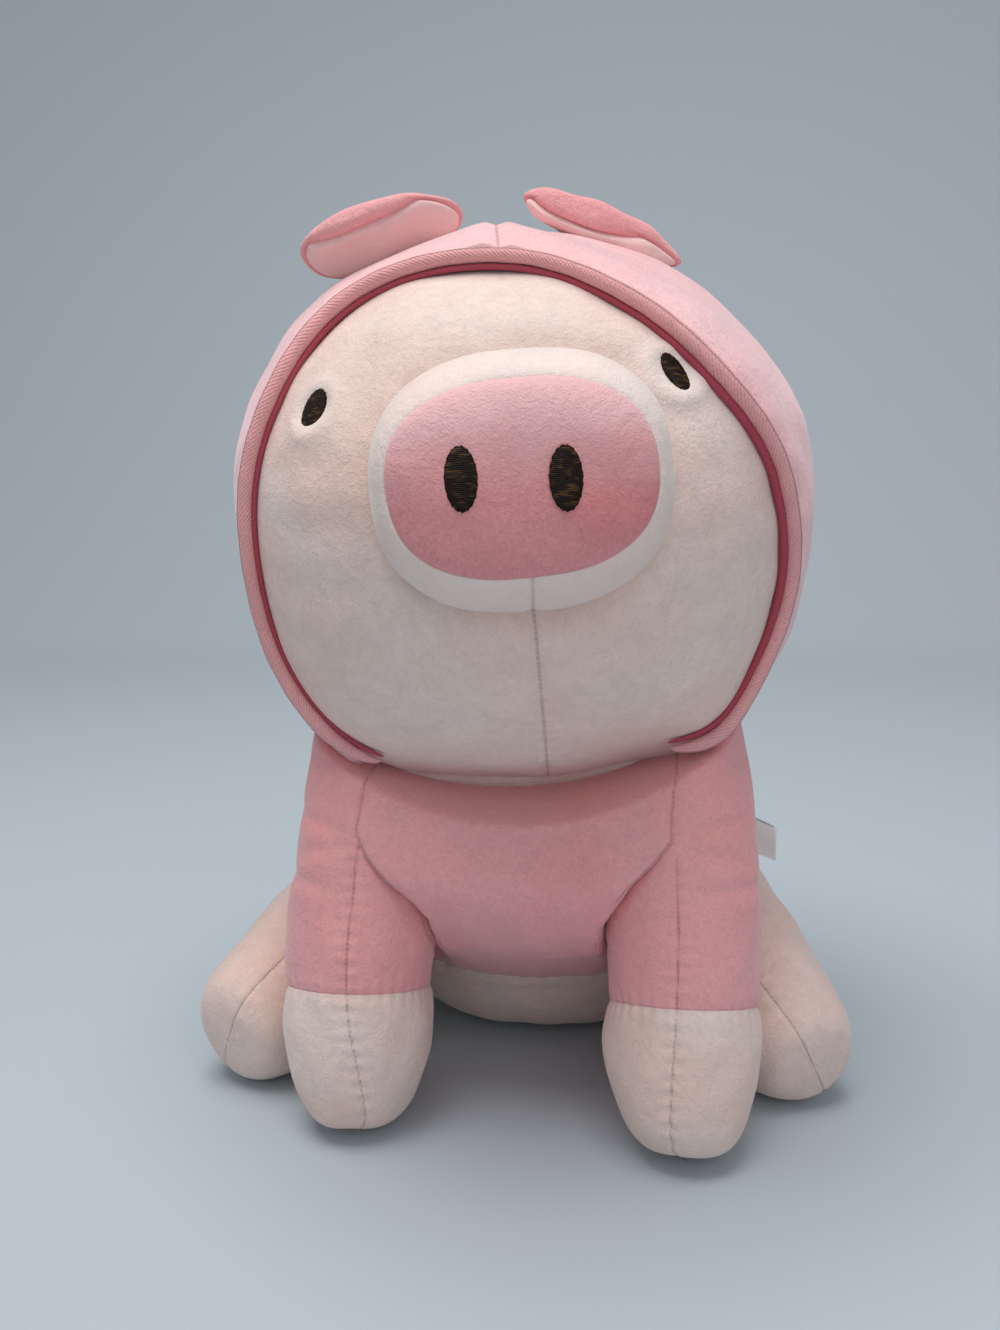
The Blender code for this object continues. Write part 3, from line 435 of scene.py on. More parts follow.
# Woven tape: the product of a wave across and a wave upwards.
def tapeMaterial(name, tape):
    material, shader, start, place = newMaterial(name, tape)
    warp, weft = (
        start.grow("ShaderNodeSeparateXYZ", {}, {"Vector": place}, output=way).sine(tape["pitch"]) for way in "XZ"
    )
    weave = warp * weft * 0.5 + 0.5
    tone = tape["floor"] + weave * tape["weaveTone"] + (grain(place, tape["stainSize"]) - 0.5) * tape["stain"]
    linkTo(shader, "Base Color", tinted(tone, tape["colour"]))
    bumpOn(shader, weave * tape["depth"], tape["strength"])
    return material


woven = {
    "colour": (0.86, 0.87, 0.86), "roughness": 0.75, "sheen": 0.1, "pitch": 0.0008, "floor": 0.9, "weaveTone": 0.1,
    "stainSize": 0.006, "stain": 0.06, "depth": 0.00012, "strength": 0.7,
}
labelTape = tapeMaterial("labelTape", woven)
print("materials made")


# Head

head = {
    "centre": np.array(joints["head_nod"]["pos_m"]),
    "halfWidth": 0.120, "radius": 0.121, "leanDeg": 5.0, "turnDeg": 6.0,
    "fullness": 0.201, "crownHeight": 0.93, "crownLift": 0.034, "narrowing": {leftSide: 0.232, rightSide: 0.122},
    "jowl": {leftSide: -0.15, rightSide: 0.051}, "chinDrop": 0.026, "jawDrop": {leftSide: 0.113, rightSide: 0.052},
    "jawCorner": {leftSide: 0.012, rightSide: 0.004}, "jawCornerAt": 0.067, "jawCornerWidth": 0.022,
    "hoodGrowth": 0.007, "rings": 230, "sides": 420,
    # Shapes are a height, where its crest lies and a width; puckers a height, a pitch and a width;
    # lumps a height, a size and a seed.
    "groove": (0.0006, 0, 0.0018), "pucker": (0.00035, 0.0065, 0.005), "chinSeamTo": 0.03,
    "rootDent": (0.0034, 0.001, 0.007), "rootFolds": (0.0004, 0.006, 0.006), "folds": 17, "foldDrift": (1.3, 5),
    "eyeSwell": (0.0011, 0.011, 0.004), "eyeDent": (0.0009, 0, 0.007), "eyePale": (0.6, 0, 0.0105),
    "lumps": ((0.0007, 0.055, 3), (0.0003, 0.022, 4)),
}


# Places near the head's centre, moved from a plain ball to the head's shape: fuller at the sides as
# 1 less the square of the way out, lower and narrower above, most of all on the pig's left, and with
# a flat, square jaw below.
def shapeHead(local):
    across, up = local[..., 0], local[..., 2]
    edge = head["halfWidth"] + head["hoodGrowth"]
    aside = np.minimum((across / edge) ** 2, 1)
    fuller = 1 + head["fullness"] * (1 - aside)
    high = np.maximum(up, 0) / head["radius"]
    low = np.maximum(-up, 0) / head["radius"]
    narrowing, jowl, jawDrop, jawCorner = (
        np.where(across > 0, head[key][leftSide], head[key][rightSide])
        for key in ("narrowing", "jowl", "jawDrop", "jawCorner")
    )
    crown = head["crownHeight"] + head["crownLift"] * np.clip(-across / edge, 0, 1)
    jaw = 1 + head["chinDrop"] + jawDrop * aside
    corner = jawCorner * hump(np.abs(across) - head["jawCornerAt"], head["jawCornerWidth"]) * ease(0.2, 0.7, low)
    shaped = local.copy()
    shaped[..., 0] = across * fuller * (1 - narrowing * high**2) * (1 + jowl * low**2.2)
    shaped[..., 2] = np.where(up > 0, up * crown, up * jaw - corner)
    return shaped


headTurn = np.array(
    Matrix.Rotation(math.radians(head["turnDeg"]), 3, "Z") @ Matrix.Rotation(-math.radians(head["leanDeg"]), 3, "Y")
)


# Head places put in the frame: leaned to the pig's right, turned to its left, and set on the centre.
def placeHead(local):
    return local @ headTurn.T + head["centre"]


# The ball in polar form: back runs from 0 at the face to pi at the nape, round from the left side over the crown.
def headBall(back, round, growth=0.0):
    wide = head["halfWidth"] + growth
    deep = head["radius"] + growth
    return np.stack([
        wide * np.sin(back) * np.cos(round),
        -deep * np.cos(back) * np.ones_like(round),
        deep * np.sin(back) * np.sin(round),
    ], -1)


# The mesh of a grid and poles near the head's centre, all put in the frame.
def headMesh(name, local, poles, **values):
    return ringMesh(name, placeHead(local), placeHead(np.array(poles, float)), **values)


# A closed pad: an outer sheet, and an inner one that runs back under it.
def padMesh(name, outer, inner, gap, run):
    grid = np.concatenate([outer, inner[:, ::-1]], axis=1)
    gap = np.concatenate([gap, np.ones_like(gap)], axis=1)
    run = np.concatenate([run, run], axis=1)
    return headMesh(name, grid, (grid[0].mean(0), grid[-1].mean(0)), seamGap=gap, seamRun=run)


# How far back the hem lies, in degrees from the face's middle to the nape, at every 30 degrees round
# the opening from under the chin, up the pig's right side, over the crown and down its left side.
hemBackDegrees = (72, 66, 66.5, 58.5, 56, 60.6, 54.8, 45.5, 41.6, 48, 60, 61, 72)


# The hem's polar place at an angle from straight up, towards the pig's left.
def hemBack(angle):
    share = np.mod(angle + math.pi, 2 * math.pi) / (2 * math.pi)
    return np.radians(smoothAt(hemBackDegrees, share))


# Foot and front are the half width and half height at the snout's two ends. The paler shares are painted light: the
# side paler towards the front, where its padded ring catches the light, and the pink front paler towards its top.
snout = {
    "length": 0.036, "rise": 0.0068, "crown": 0.0095, "square": 0.82, "swell": 0.0062, "swellPower": 0.8,
    "foot": (0.0475, 0.0442), "front": (0.0474, 0.0346), "sunk": 0.02, "floor": 0.004,
    "roundness": 0.0026, "turnLength": 0.009, "sides": 320, "rings": 70, "runRadius": 0.04,
    "sidePucker": (0.00005, 0.0055, 0.008), "underSeam": (0.001, 0, 0.002), "sideLumps": ((0.0004, 0.03, 9),),
    "sideInset": 0.0004, "sidePaintedLight": 0.35, "palerReach": 0.03,
    "frontRings": 90, "frontInset": 0.55, "frontSunk": 0.0006, "domeShare": 2.4, "domePower": 0.62,
    "frontPucker": (0.00005, 0.0055, 0.005), "puckerAt": 0.004, "frontLumps": ((0.0005, 0.025, 10),),
    "dimple": 0.0016, "dimpleHalfWidth": 0.012, "dimpleHalfHeight": 0.02, "dimpleBelow": 0.1,
    "frontPaintedLight": 0.72, "palerFrom": -0.012, "palerTo": 0.03, "palerLumps": ((0.004, 0.02, 14),), "seamInset": 0.0006,
    "innerShare": 0.97, "innerDepth": 0.006,
}
snoutEdge = head["radius"] + snout["length"] - snout["crown"]


# A rounded rectangle: cosine and sine, each raised to the square share with its sign kept.
# It comes with how far round the outline each place lies.
def snoutOutline(halfWidth, halfHeight):
    round = roundTurn(snout["sides"])[None, :]
    cos, sin = np.cos(round), np.sin(round)
    across = halfWidth * np.sign(cos) * np.abs(cos) ** snout["square"]
    up = halfHeight * np.sign(sin) * np.abs(sin) ** snout["square"]
    return across, up, np.arctan2(up, across) * snout["runRadius"]


# How far a place on the face lies outside the snout's root, as a share of the root's outline less 1.
def snoutReach(local):
    power = 2 / snout["square"]
    across = np.abs(local[..., 0]) / snout["foot"][0]
    up = np.abs(local[..., 2] - snout["rise"]) / snout["foot"][1]
    return (across**power + up**power) ** (1 / power) - 1


# How far forward the snout's front lies at a share of the way out: its edge, and its crown times
# a power of 1 less a power of the share.
def snoutDome(share):
    return snoutEdge - snout["frontSunk"] + snout["crown"] * (1 - share ** snout["domeShare"]) ** snout["domePower"]


# The whole ball under the hood: the head's shape with a groove down the chin, a dent round the snout's
# root and at each eye, and short folds that the snout's seam draws.
def makeFace():
    back = np.linspace(0, math.pi, head["rings"])[1:-1, None]
    round = roundTurn(head["sides"], -math.pi / 2)[None, :]
    local = shapeHead(headBall(back, round))
    across, deep, up = np.moveaxis(local, -1, 0)
    normals = gridNormals(local, np.zeros(3))
    chin = np.where((up < 0) & (deep < head["chinSeamTo"]), np.abs(across), 1.0)
    run = back * head["radius"] * np.ones_like(round)
    reach = snoutReach(local) * snout["foot"][1]
    angle = np.arctan2(up - snout["rise"], across)
    drift, driftTurns = head["foldDrift"]
    draws = 0.5 + 0.5 * np.sin(angle * head["folds"] + drift * np.sin(angle * driftTurns))
    offset = lumps(local, head["lumps"]) - raised(head["groove"], chin) + puckered(head["pucker"], run, chin)
    offset -= (raised(head["rootDent"], reach) + draws * raised(head["rootFolds"], reach)) * (deep < 0)
    paler = np.zeros_like(offset)
    for hand in (leftSide, rightSide):
        apart = np.linalg.norm(local - eyePlace(hand)[0], axis=-1)
        offset += raised(head["eyeSwell"], apart) - raised(head["eyeDent"], apart)
        paler += raised(head["eyePale"], apart)
    ends = shapeHead(np.array([[0, -head["radius"], 0], [0, head["radius"], 0]]))
    local = local + normals * offset[..., None]
    piece = headMesh("faceCover", local, ends, seamGap=chin, seamRun=run, paler=paler)
    dress(piece, creamPlush, "head", ["face_panel", "head_back_panel", "head_filling"])


eye = {
    "halfWidth": {leftSide: 0.0042, rightSide: 0.0058}, "halfHeight": 0.0086,
    "side": 0.0606, "shift": 0.0068, "rise": 0.0448,
    "slantDeg": {leftSide: 16.0, rightSide: -16.0}, "bend": 3.0, "sunk": 0.0002,
}
nostril = {
    "halfWidth": {leftSide: 0.0056, rightSide: 0.0056}, "halfHeight": 0.0108,
    "side": 0.0171, "shift": -0.0027, "level": 0.0015, "lean": 0.11,
    "slantDeg": {leftSide: -2.5, rightSide: -2.5}, "bend": 4.0, "sunk": 0.0004,
}
# The skirt is how far the edge is sunk in the cloth, ring by ring, and wavers are a share, turns and a phase.
stitching = {
    "height": 0.0014, "domePower": 0.6, "rings": 26, "sides": 72, "skirt": (0.4, 0.9, 1.5, 2.2),
    "wavers": ((0.018, 19, 0), (0.012, 31, 1)),
}


# An eye's middle on the face, and its outward direction as on an ellipsoid: each coordinate over
# the square of that radius.
def eyePlace(hand):
    across = hand * eye["side"] - eye["shift"]
    wide, ball = head["halfWidth"], head["radius"]
    forward = ball * math.sqrt(1 - (across / wide) ** 2 - (eye["rise"] / ball) ** 2)
    outward = np.array([across / wide**2, -forward / ball**2, eye["rise"] / ball**2])
    return shapeHead(np.array([[across, -forward, eye["rise"]]]))[0], unit(outward)


# Two directions at right angles, both rolled by an angle in their own plane.
def rolled(side, up, degrees):
    cos, sin = math.cos(math.radians(degrees)), math.sin(math.radians(degrees))
    return cos * side + sin * up, cos * up - sin * side


# A low dome of thread over an oval, whose edge wavers by a stitch: rings shrink towards the middle
# while their height rises as a power of the cosine of the share.
def stitchedOval(kind, hand, middle, outward, oval):
    side = unit(np.cross([0.0, 0.0, 1.0], outward))
    side, up = rolled(side, np.cross(outward, side), oval["slantDeg"][hand])
    turn = np.linspace(0, 1, stitching["rings"])[1:, None] * math.pi / 2
    skirt = np.array(stitching["skirt"])[:, None]
    radius = np.concatenate([np.sin(turn), np.ones_like(skirt)])
    rise = np.concatenate([np.cos(turn) ** stitching["domePower"], -skirt])
    round = roundTurn(stitching["sides"])[None, :]
    waver = 1 + sum(size * np.sin(round * turns + phase) for size, turns, phase in stitching["wavers"])
    across = oval["halfWidth"][hand] * radius * np.cos(round) * waver
    high = oval["halfHeight"] * radius * np.sin(round) * waver
    lift = stitching["height"] * rise - oval["bend"] * across**2
    grid = middle + across[..., None] * side + high[..., None] * up + lift[..., None] * outward
    poles = [middle + outward * stitching["height"] * end for end in (1, -stitching["skirt"][-1])]
    name = sideNames[hand]
    piece = headMesh(kind + "_stitches_" + name, grid, poles, seamRun=high)
    dress(piece, brownThread, "head", [kind + "_" + name])


# The padded side of the snout: outlines that shrink from the root to the front with a sine swell,
# and turn in on a quarter circle over the last millimetres to the seam round the pink front.
def makeSnoutSide():
    share = np.linspace(0, 1, snout["rings"])[:, None]
    root = head["radius"] - snout["sunk"]
    forward = root + (snoutEdge - root) * share
    swell = snout["swell"] * np.sin(math.pi * share) ** snout["swellPower"]
    turn = np.clip((forward - snoutEdge) / snout["turnLength"] + 1, 0, 1)
    swell = swell - snout["roundness"] * (1 - np.sqrt(1 - turn**2))
    across, up, run = snoutOutline(*(
        foot + (front - foot) * share + swell for foot, front in zip(snout["foot"], snout["front"])
    ))
    pucker = puckered(snout["sidePucker"], run, forward - snoutEdge)
    local = np.stack([across, -forward - pucker, up + snout["rise"]], -1)
    local += lumps(local, snout["sideLumps"])[..., None] * (1, 0, 1)
    local[..., 2] += raised(snout["underSeam"], across) * (up < 0)
    under = np.where(up < 0, np.abs(across), 1.0)
    gap = np.minimum(under, snoutEdge - forward + snout["sideInset"])
    # Painted light: the side is paler towards the front, where the padded ring round the pink front catches the light.
    paler = snout["sidePaintedLight"] * ease(root, root + snout["palerReach"], forward) * np.ones_like(up)
    poles = [(0, -root, snout["rise"]), (0, snout["floor"] - snoutEdge, snout["rise"])]
    side = headMesh("snoutSide", local, poles, seamGap=gap, seamRun=run, paler=paler)
    dress(side, creamPlush, "head", ["snout_side", "snout_filling"])


# The pink front: a dome with a dimple in its middle, whose edge turns back into the side. It is painted paler towards
# its top as painted top light, and its darker base colour stands for painted shade below.
def makeSnoutFront():
    out = np.linspace(0, 1, snout["frontRings"])[1:, None]
    inset = snout["roundness"] * snout["frontInset"]
    across, up, run = snoutOutline(*((size - inset) * out for size in snout["front"]))
    halfHeight = snout["front"][1]
    rim = (1 - out) * halfHeight * np.ones_like(across)
    forward = snoutDome(out) + puckered(snout["frontPucker"], run, rim - snout["puckerAt"])
    below = hump(up + halfHeight * snout["dimpleBelow"], snout["dimpleHalfHeight"])
    forward = forward - snout["dimple"] * hump(across, snout["dimpleHalfWidth"]) * below
    local = np.stack([across, -forward, up + snout["rise"]], -1)
    local[..., 1] += lumps(local, snout["frontLumps"])
    # Painted top light: the front is paler towards its top.
    paler = ease(snout["palerFrom"], snout["palerTo"], up + lumps(local, snout["palerLumps"])) * snout["frontPaintedLight"]
    grid = np.concatenate([local, local[-1:] * (snout["innerShare"], 1, 1) + (0, snout["innerDepth"], 0)])
    rim, run, paler = (np.pad(values, ((0, 1), (0, 0)), "edge") for values in (rim, run, paler))
    poles = [(0, snout["dimple"] - snoutDome(0), snout["rise"]), (0, snout["innerDepth"] - snoutEdge, snout["rise"])]
    front = headMesh("snoutFront", grid, poles, seamGap=rim + snout["seamInset"], seamRun=run, paler=paler)
    dress(front, snoutPlush, "head", ["snout_front"])


# The four stitched ovals: the eyes lie on the face, the nostrils on the snout's dome.
def makeEmbroidery():
    for hand in (leftSide, rightSide):
        middle, outward = eyePlace(hand)
        stitchedOval("eye", hand, middle - outward * eye["sunk"], outward, eye)
        across = hand * nostril["side"] + nostril["shift"]
        forward = snoutDome(abs(across) / snout["front"][0]) - nostril["sunk"]
        middle = np.array([across, -forward, snout["rise"] - hand * nostril["level"]])
        stitchedOval("nostril", hand, middle, unit(np.array([hand * nostril["lean"], -1.0, 0.0])), nostril)


hood = {
    "rings": 112, "sides": 400, "wall": 0.004, "folded": 0.004, "openDeg": 28, "openFromDeg": (141, 153),
    "lumps": ((0.0011, 0.07, 5), (0.0004, 0.028, 6)), "crownSeamAbove": -0.02, "napeSeamBehind": 0.03,
    "groove": (0.0012, 0, 0.0026), "seamSwell": (0.0006, 0.006, 0.005), "seamPucker": (0.0004, 0.008, 0.006),
    "peak": (0.0028, 0.022, 0.015), "peakWidth": 0.022,
    "hemDraw": (0.0010, 0.002, 0.004), "folds": (0.0003, 0, 0.02), "foldTurns": 26, "foldDrift": (2, 3),
}


# The hood: the head's ball grown by its wall, from the hem to the nape, folded in at the hem and cut
# back under the chin. A seam runs over the crown, and its cloth stands up a little where it meets the hem.
def makeHood():
    round = roundTurn(hood["sides"], -math.pi / 2)[None, :]
    opening = ease(*np.radians(hood["openFromDeg"]), turnSize(math.pi / 2 - round))
    start = hemBack(math.pi / 2 - round) + hood["folded"] + math.radians(hood["openDeg"]) * opening
    back = start + (math.pi - start) * np.linspace(0, 1, hood["rings"])[:-1, None]
    fromHem = (back - start) * head["radius"]
    local = shapeHead(headBall(back, round, head["hoodGrowth"]))
    across, deep, up = np.moveaxis(local, -1, 0)
    seam = np.where((up > hood["crownSeamAbove"]) | (deep > hood["napeSeamBehind"]), np.abs(across), 1.0)
    run = back * head["radius"] * np.ones_like(round)
    drift, driftTurns = hood["foldDrift"]
    folds = np.sin(np.arctan2(up, across) * hood["foldTurns"] + drift * np.sin(round * driftTurns))
    offset = raised(hood["seamSwell"], seam) - raised(hood["groove"], seam) + puckered(hood["seamPucker"], run, seam)
    offset += raised(hood["peak"], fromHem) * hump(across, hood["peakWidth"]) * (up > 0)
    offset += lumps(local, hood["lumps"]) + folds * raised(hood["folds"], fromHem) - raised(hood["hemDraw"], fromHem)
    outer = local + gridNormals(local, np.zeros(3)) * offset[..., None]
    inner = shapeHead(headBall(back, round, head["hoodGrowth"] - hood["wall"]))
    far = head["radius"] + head["hoodGrowth"]
    poles = shapeHead(np.array([[0, far - hood["wall"], 0], [0, far, 0]]))
    gap = np.concatenate([np.ones_like(seam), seam])
    grid, run = np.concatenate([inner[::-1], outer]), np.concatenate([run[::-1], run])
    dress(headMesh("hoodShell", grid, poles, seamGap=gap, seamRun=run), hoodPlush, "head", ["hood"])


hem = {
    "radius": 0.0035, "flat": 1.1, "endsDeg": (-148, 153), "steps": 520, "sides": 28, "nudge": 0.004,
    "taper": 0.22, "endShare": 0.15, "sunkEnds": 0.003, "waver": 0.02, "waverTurns": 40, "thinCrown": (0.15, 0, 0.5),
}
tape = {
    "radius": 0.0015, "flat": 1.4, "sides": 16, "in": 0.0028, "growth": 0.0012, "endShare": 0.25,
    "wide": 0.85, "wider": 0.6, "widens": (0.3, 1.3), "narrows": (2.0, 2.6),
}


# Points of a line beside the hem, at angles from straight up: nudge is how far back of the hem it lies,
# and growth how far out of the face.
def hemLine(angle, growth, nudge=0.0):
    return shapeHead(headBall(hemBack(angle) + nudge / head["radius"], math.pi / 2 - angle, growth))


# A tube along a line: a circle of the given radii, flattened as asked, carried on each point's two
# directions, with how far along and around each place lies.
def tubeAlong(line, outward, sideways, radii, flat, sides):
    round = roundTurn(sides)
    circle = np.cos(round)[:, None] * outward[:, None] + flat * np.sin(round)[:, None] * sideways[:, None]
    run = lengthAlong(line)[:, None] * np.ones(sides)
    return line[:, None] + radii[:, None, None] * circle, run, round * radii[:, None]


# The rolled hem, and the dark tape that shows between it and the face: the tape's deep colour is partly the facing's
# own and partly painted shade in the gap under the roll. Both taper as a root to their ends.
def makeHem():
    first, last = np.radians(hem["endsDeg"])
    angle = np.linspace(first, last, hem["steps"])
    growth = head["hoodGrowth"] - hood["wall"] / 2
    line = hemLine(angle, growth)
    out = unit(hemLine(angle, growth + hem["nudge"]) - line)
    away = unit(hemLine(angle, growth, hem["nudge"]) - line)
    taper = np.clip(np.minimum(angle - first, last - angle) / hem["taper"], 0, 1) ** 0.5
    line = line - out * (hem["sunkEnds"] * (1 - taper))[:, None]
    waver = 1 + hem["waver"] * np.sin(angle * hem["waverTurns"]) - raised(hem["thinCrown"], angle)
    radii = hem["radius"] * (hem["endShare"] + (1 - hem["endShare"]) * taper) * waver
    grid, run, around = tubeAlong(line, out, away, radii, hem["flat"], hem["sides"])
    roll = headMesh("hemRoll", grid, (line[0], line[-1]), seamRun=run, around=around)
    dress(roll, hemPlush, "head", ["hood_hem"])
    line = hemLine(angle, tape["growth"], -tape["in"])
    wide = tape["wide"] + tape["wider"] * ease(*tape["widens"], angle) * (1 - ease(*tape["narrows"], angle))
    radii = tape["radius"] * wide * (tape["endShare"] + (1 - tape["endShare"]) * taper)
    grid, run, around = tubeAlong(line, out, away, radii, tape["flat"], tape["sides"])
    strip = headMesh("hemTape", grid, (line[0], line[-1]), seamRun=run, around=around)
    dress(strip, hemTape, "head", [])


chinBand = {
    "halfWidth": 0.080, "startDeg": 75.5, "endDeg": 106, "rings": 90, "sides": 190, "inside": -0.004,
    "swell": 0.0086, "swells": (-0.05, 0.09), "tucked": 0.7, "tuckedDeg": 87, "tuckLength": 0.2,
    "lumps": ((0.0005, 0.02, 8),),
}


# The band under the chin: a patch of the head's ball that swells from the face to the hood's size and
# sinks again behind, as a closed pad.
def makeChinBand():
    half = math.asin(chinBand["halfWidth"] / head["halfWidth"])
    start, end, tuck = (math.radians(chinBand[key]) for key in ("startDeg", "endDeg", "tuckedDeg"))
    back = np.linspace(start, end, chinBand["rings"])[:, None]
    round = np.linspace(-half, half, chinBand["sides"])[None, :] - math.pi / 2
    sunk = 1 - chinBand["tucked"] * ease(tuck, tuck + chinBand["tuckLength"], back)
    growth = chinBand["swell"] * ease(*chinBand["swells"], back - start) * sunk
    outer = shapeHead(headBall(back, round, growth))
    outer[..., 2] -= lumps(outer, chinBand["lumps"])
    inner = shapeHead(headBall(back, round, chinBand["inside"]))
    gap = (back - start) * head["radius"] * np.ones_like(round)
    run = round * head["radius"] * np.ones_like(back)
    dress(padMesh("chinBand", outer, inner, gap, run), creamPlush, "head", ["chin_band"])


makeFace()
makeSnoutSide()
makeSnoutFront()
makeEmbroidery()
makeHood()
makeHem()
makeChinBand()
print("head made")


# Stuffed forms

# A form: the sizes of a piece with a spine for its rings, their direction across and its length.
def stuffedForm(sizes, spine, across, level=False, **own):
    spine = np.array(spine, float)
    length = float(np.linalg.norm(spine[-1] - spine[0]))
    return dict(sizes, spine=spine, across=np.array(across, float), level=level, length=length, **own)


# How full the form is at shares of its spine: a power of the half circle between its ends, which is
# twice the root of the share times 1 less the share.
def fullness(form, along):
    near, far = form["blunt"]
    return (2 * np.sqrt(np.clip(along * (1 - along), 0, 1))) ** (near + (far - near) * along)


# Shares of the spine whose rings are evenly spaced along the form's outline, without its two ends.
def evenShares(form, rows):
    turn = math.pi * ease(0, 1, np.linspace(0, 1, 6000))
    along = (1 - np.cos(turn)) / 2
    arc = lengthAlong(np.stack([along * form["length"], form["halfWidth"] * fullness(form, along)], -1))
    return (1 - np.cos(np.interp(np.linspace(0, arc[-1], rows), arc, turn)))[1:-1] / 2


# The form's section at shares of its spine: centre, half width, half depth and the two directions.
def formSection(form, along):
    along = np.asarray(along, float)
    rounding = fullness(form, along)
    width = form["halfWidth"] * smoothAt(form["widthShares"], along) * rounding
    depth = form["halfDepth"] * smoothAt(form["depthShares"], along) * rounding
    centre = smoothAt(form["spine"], along)
    across = np.broadcast_to(form["across"], centre.shape)
    if form["level"]:
        deep = np.broadcast_to(np.array([0.0, 1.0, 0.0]), centre.shape)
    else:
        tangent = smoothAt(form["spine"], along + 0.01) - smoothAt(form["spine"], along - 0.01)
        deep = np.cross(unit(tangent - across * np.sum(across * tangent, axis=-1)[..., None]), across)
    return centre, width, depth, across, deep


# Rings of the form's surface, with each point's share of the spine and its angle.
def formGrid(form, rows, sides):
    along = evenShares(form, rows)
    centre, width, depth, across, deep = formSection(form, along)
    angle = roundTurn(sides)
    cos, sin = np.cos(angle)[None, :, None], np.sin(angle)[None, :, None]
    grid = centre[:, None] + width[:, None, None] * cos * across[:, None] + depth[:, None, None] * sin * deep[:, None]
    return grid, along[:, None] * np.ones(sides), angle * np.ones((len(along), 1))


# How far places lie outside the form's surface, in metres, and the direction away from its spine:
# the distance from the spine, less its share that the ellipse of the section takes up.
def formField(form, points):
    spine = form["spine"]
    axis = np.array([0.0, 0.0, 1.0]) if form["level"] else (spine[-1] - spine[0]) / form["length"]
    reach = float((spine[-1] - spine[0]) @ axis)
    along = np.clip(((points - spine[0]) @ axis) / reach, 0.002, 0.998)
    centre, width, depth, across, deep = formSection(form, along)
    away = points - centre
    x = np.sum(away * across, axis=-1)
    y = np.sum(away * deep, axis=-1)
    size = np.sqrt((x / width) ** 2 + (y / depth) ** 2) + 1e-9
    flat = x[..., None] * across + y[..., None] * deep
    far = np.linalg.norm(flat, axis=-1)
    beyond = np.maximum(np.abs(((points - spine[0]) @ axis) / reach - 0.5) - 0.5, 0) * reach
    return (1 - 1 / size) * far + beyond, flat / (far[..., None] + 1e-9)


# The form moved up or down so that its lowest point dents the floor by half a millimetre.
def settled(form):
    grid, _, _ = formGrid(form, 160, 90)
    form["spine"][:, 2] -= grid[..., 2].min() + 0.0005
    return form


# Cloth drawn up where two stuffed pieces are sewn together: full at the seam, gone a reach away as
# the square of the rest, and soon gone inside the other piece.
def drawnUp(distance, reach):
    outside = np.clip(1 - distance / reach, 0, 1) ** 2
    inside = np.clip(1 + 2 * distance / reach, 0, 1)
    return reach / 4 * np.where(distance > 0, outside, inside)


body = {
    "halfWidth": 0.096, "halfDepth": 0.086, "height": 0.205, "lean": 0.092, "seamHeight": 0.046,
    "widthShares": (1.0, 1.0, 1.0, 0.97, 0.95, 0.88), "depthShares": (1.0, 1.0, 1.0, 0.94, 0.89, 0.82),
    "leanShares": (0.0, 0.05, 0.17, 0.45, 0.75, 1.0), "blunt": (0.5, 0.6),
    "chestLow": 0.035, "chestHigh": 0.122, "chestEdge": 0.012, "bulge": 0.002, "front": 0.03,
    "neckHeight": 0.146, "neckRise": 0.0115, "neckReach": 0.055, "neckBack": -0.095, "neckSoftness": 0.007,
    "rows": 300, "sides": 440, "runRadius": 0.08, "lumps": ((0.0009, 0.06, 11), (0.0004, 0.022, 12)),
    "seatGroove": (0.0014, 0, 0.003), "seatPucker": (0.0003, 0.0075, 0.006),
    "backGroove": (0.001, 0, 0.0024), "backSeamBehind": 0.02,
}
frontLeg = {
    "shoulderSide": 0.065, "pawSide": {leftSide: 0.0735, rightSide: 0.070}, "height": 0.205,
    "shoulderForward": 0.094, "pawForward": {leftSide: 0.163, rightSide: 0.151}, "cuffHeight": 0.057,
    "halfWidth": 0.0365, "halfDepth": 0.038, "blunt": (0.5, 0.45), "rows": 240, "sides": 220,
    "widthShares": (1.05, 1.04, 1.0, 0.98, 1.02, 0.95), "depthShares": (1.0, 1.0, 1.0, 0.98, 1.02, 0.98),
    "seamTurns": {leftSide: (0.10, 0.04, -0.01, 0.08, 0.30), rightSide: (-0.15, -0.15, -0.06, -0.06, -0.50)},
    "seamTop": (0.128, 0.140), "seamHidden": 0.02,
    "outerTrim": {leftSide: 0.0, rightSide: 0.0055}, "innerTrim": {leftSide: 0.0050, rightSide: 0.0035},
    "outerTo": (0.28, 0.62), "innerTo": (0.66, 0.86), "drawnTo": (-0.05, -0.01),
    "groove": (0.0006, 0, 0.0018), "pucker": (0.00035, 0.0062, 0.006), "cuffGroove": (0.0009, 0, 0.0024),
    "cuffPucker": (0.0003, 2 * math.pi / 34, 0.006), "cuffWaist": (0.0016, -0.001, 0.012),
    "blendAbove": 0.03, "blendBelow": 0.05,
    "lumps": ((0.0007, 0.045, 20), (0.0003, 0.018, 24)),
}
hindLeg = {
    "hip": (0.056, 0.034, 0.070), "foot": {leftSide: (0.131, -0.123, 0.028), rightSide: (0.135, -0.127, 0.028)},
    "halfWidth": 0.036, "halfDepth": {leftSide: 0.040, rightSide: 0.043}, "blunt": (0.7, 0.42),
    "widthShares": (0.9, 0.98, 1.0, 1.0, 1.0, 0.98), "depthShares": (1.05, 1.14, 1.12, 1.0, 0.95, 0.95),
    "rows": 220, "sides": 220, "hipSwell": 0.006, "hipTo": (0.35, 0.75), "seamTurn": 0.55,
    "swellBelow": 0.4, "clear": 0.0012, "pressed": 0.02,
    "groove": (0.0006, 0, 0.0018), "pucker": (0.0004, 0.0068, 0.006),
    "lumps": ((0.0009, 0.05, 30), (0.0003, 0.02, 34)),
}
